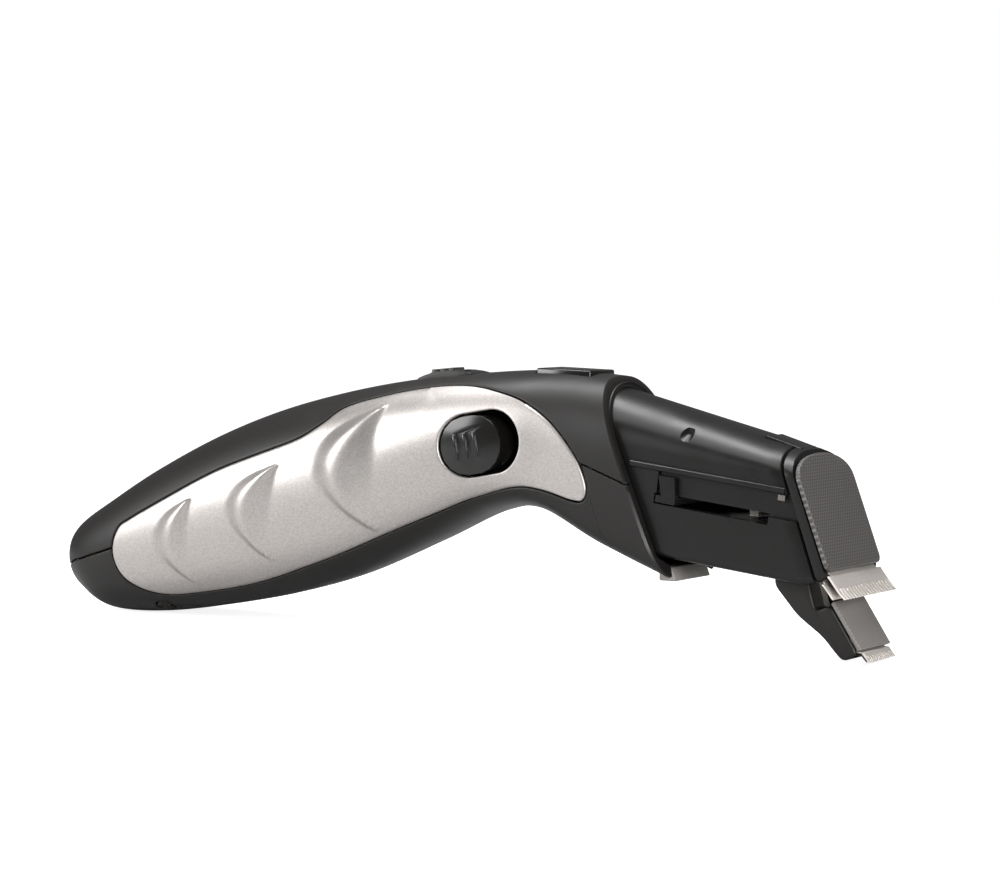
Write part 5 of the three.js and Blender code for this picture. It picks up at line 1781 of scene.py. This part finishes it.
@dataclass
class DetailTrimmer:
    """The arm of the fold-out detail trimmer.

    Args:
        head: it gives the pivot's place.
        half_width: of the arm, in mm.
        back, front: points of its side outline from the pivot, down the back and up the front.
    """

    head: HeadSurface
    half_width: float = 6.25
    back: tuple[tuple[float, float], ...] = (
        (-2.6, 0), (-4.1, -4.1), (0.8, -9.7), (5.8, -13.2), (9.3, -17), (10.4, -17.3), (12.2, -16.4),
    )  # fmt: skip
    front: tuple[tuple[float, float], ...] = ((4.5, -8.8), (3.2, -4), (2.6, 0))

    def build(self) -> None:
        """Makes the arm from its rounded side outline, with the room for its drive and blades."""
        hinge, half = self.head.hinge(), self.half_width
        foot, top = hinge + [13.6, -15], hinge + [8.2, -6.7]
        face = SideFrame(foot[0], foot[1], slope(top, foot))
        length = float(np.linalg.norm(foot - top))
        ends = [face.at(0, -1.1), face.at(-length, -1.1)]
        outline = [*(hinge + np.array(self.back)), *ends, *(hinge + np.array(self.front))]
        arm = prism("detail_arm_fine", fillet(outline, 1.5, 7), -half, half, 0.5, 6)
        x, z = hinge
        applied(arm, [rod("barrel", (x, -half, z), (x, half, z), 2.6, 2.6, 48)], Solid.GROWS)
        channel = [hinge + [0.6, -2.4], hinge + [2.6, -9.4], hinge + [9.2, -15.2], face.at(2, -2.2)]
        channel += [face.at(4, 1), face.at(-9, 1), face.at(-9, -2.2), hinge + [2.6, -2.4]]
        cutters = [
            rod("bore", (x, -12, z), (x, 12, z), 1.2, 1.2, 32),
            rod("spring_bay", (x, 2.6, z), (x, 7, z), 3.2, 3.2, 40),
            prism("channel", np.array(channel), -2.1, 2.1, 0.0),
            slab("bay", face, (-3.4, -2.7, 5, 1), -5.75, 5.75),
        ]
        applied(arm, cutters)
        smooth(arm, 30)
        place(arm, Body.DETAIL, "shell_black", SHELL_ABS, "detail_arm")


def spine_frame(grip: GripSurface, t: float) -> SideFrame:
    """A frame on the spine at a station, along the slope there."""
    at = grip.side(t, 1.0)
    return SideFrame(at[0], at[1], slope(grip.side(t - 0.1, 1.0), grip.side(t + 0.1, 1.0)))


def shell_cutters(grip: GripSurface) -> dict[bool, list[bpy.types.Object]]:
    """Pockets of the spine shell (True) and of the belly shell (False).

    Args:
        grip: the grip's surface.

    Returns:
        The solids to cut away from each shell.
    """
    setting, lock = spine_frame(grip, 8.62), spine_frame(grip, 10.88)
    upper = [
        slab("setting", setting, (-6.5, -1.9, 6.5, 5), -3.9, 3.9),
        slab("lock", lock, (-6.2, -3.0, 6.2, 5), -4.9, 4.9),
    ]
    lower = []
    for node in ("heel_screw_left", "heel_screw_right", "neck_screw"):
        low, high = node_box(node)
        x, y = (low + high)[0] / 2, (low + high)[1] / 2
        lower.append(rod("sink", (x, y, -8), (x, y, low[2] + 1.4), 2.2, 2.2, 40))
    return {True: upper, False: lower}


# ---- Assembly ---------------------------------------------------------------------------------


def build_small_parts() -> None:
    """Fine copies of the small CAD pieces, with rounded edges."""
    rows = (
        ("switch_tray", 0.25, Body.HANDLE, "gloss_black", GLOSS_ABS),
        ("power_slider", 0.3, Body.SLIDER, "gloss_black", GLOSS_ABS),
        ("setting_bezel", 0.25, Body.HANDLE, "shell_black", SHELL_ABS),
        ("setting_knob", 0.2, Body.KNOB, "button_grey", KNOB_ABS),
        ("comb_lock_button", 0.3, Body.LOCK, "gloss_black", GLOSS_ABS),
        ("heel_plate", 0.25, Body.HANDLE, "gloss_black", GLOSS_ABS),
        ("trimmer_release", 0.3, Body.RELEASE, "button_grey", BUTTON_ABS),
        ("fixed_blade", 0.06, Body.BLADE_HEAD, "steel", BLADE_STEEL),
        ("blade_spring", 0.05, Body.BLADE_HEAD, "steel", BLADE_STEEL),
        ("detail_faceplate", 0.2, Body.DETAIL, "plate_grey", DETAIL_ABS),
        ("detail_fixed_blade", 0.05, Body.DETAIL, "steel", BLADE_STEEL),
    )
    for node, bevel, body, slot, finish in rows:
        place(refined(node, bevel), body, slot, finish, node)


def dress_inner_parts() -> None:
    """Gives each CAD node that is still shown the finish of its slot."""
    # The moving blades take the darker steel, whose colour is painted shade.
    special = {"moving_blade": PAINTED_SHADE_CUTTER_STEEL, "heel_screw_left": BLACK_OXIDE, "heel_screw_right": BLACK_OXIDE}
    special |= {"neck_screw": BLACK_OXIDE, "comb_carriage": HEAD_ABS, "detail_moving_blade": PAINTED_SHADE_CUTTER_STEEL}
    for name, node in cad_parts.items():
        if not node.hide_render:
            node.data.materials.clear()
            node.data.materials.append(special.get(name, SLOT_FINISH[slot_of(name)]).material())
            log.info("%s: CAD mesh, %s", name, slot_of(name))


def slot_of(node: str) -> str:
    """The material slot of a CAD node, from its name.

    Args:
        node: the node's name.

    Returns:
        The slot's name.
    """
    words = (
        ("lead_red", "lead_red"), ("lead_black", "lead_black"), ("contact", "brass"), ("cam", "brass"),
        ("board_switch", "steel"), ("board", "board_green"), ("cell", "cell_sleeve"), ("cradle", "nylon"),
        ("yoke", "nylon"), ("rocker_pin", "steel"), ("rocker", "nylon"), ("lever", "nylon"),
        ("carriage", "head_black"),
    )  # fmt: skip
    for word, slot in words:
        if word in node:
            return slot
    return "steel"


def main() -> None:
    """Builds the trimmer, piece by piece, and then the studio."""
    logging.basicConfig(level=logging.INFO, format="%(name)s: %(message)s")
    grip = GripSurface()
    spot = grip.side(9.41, -0.03)
    switch = SideFrame(spot[0], spot[1], 10.0)
    head = HeadSurface(grip)
    panels = SidePanels(grip, switch)
    panels.build()
    GripShells(grip, panels, head).build(shell_cutters(grip))
    HeadHousing(head).build()
    BladeHead(head).build()
    DetailTrimmer(head).build()
    build_small_parts()
    dress_inner_parts()
    Studio().build()


if __name__ == "__main__":
    main()
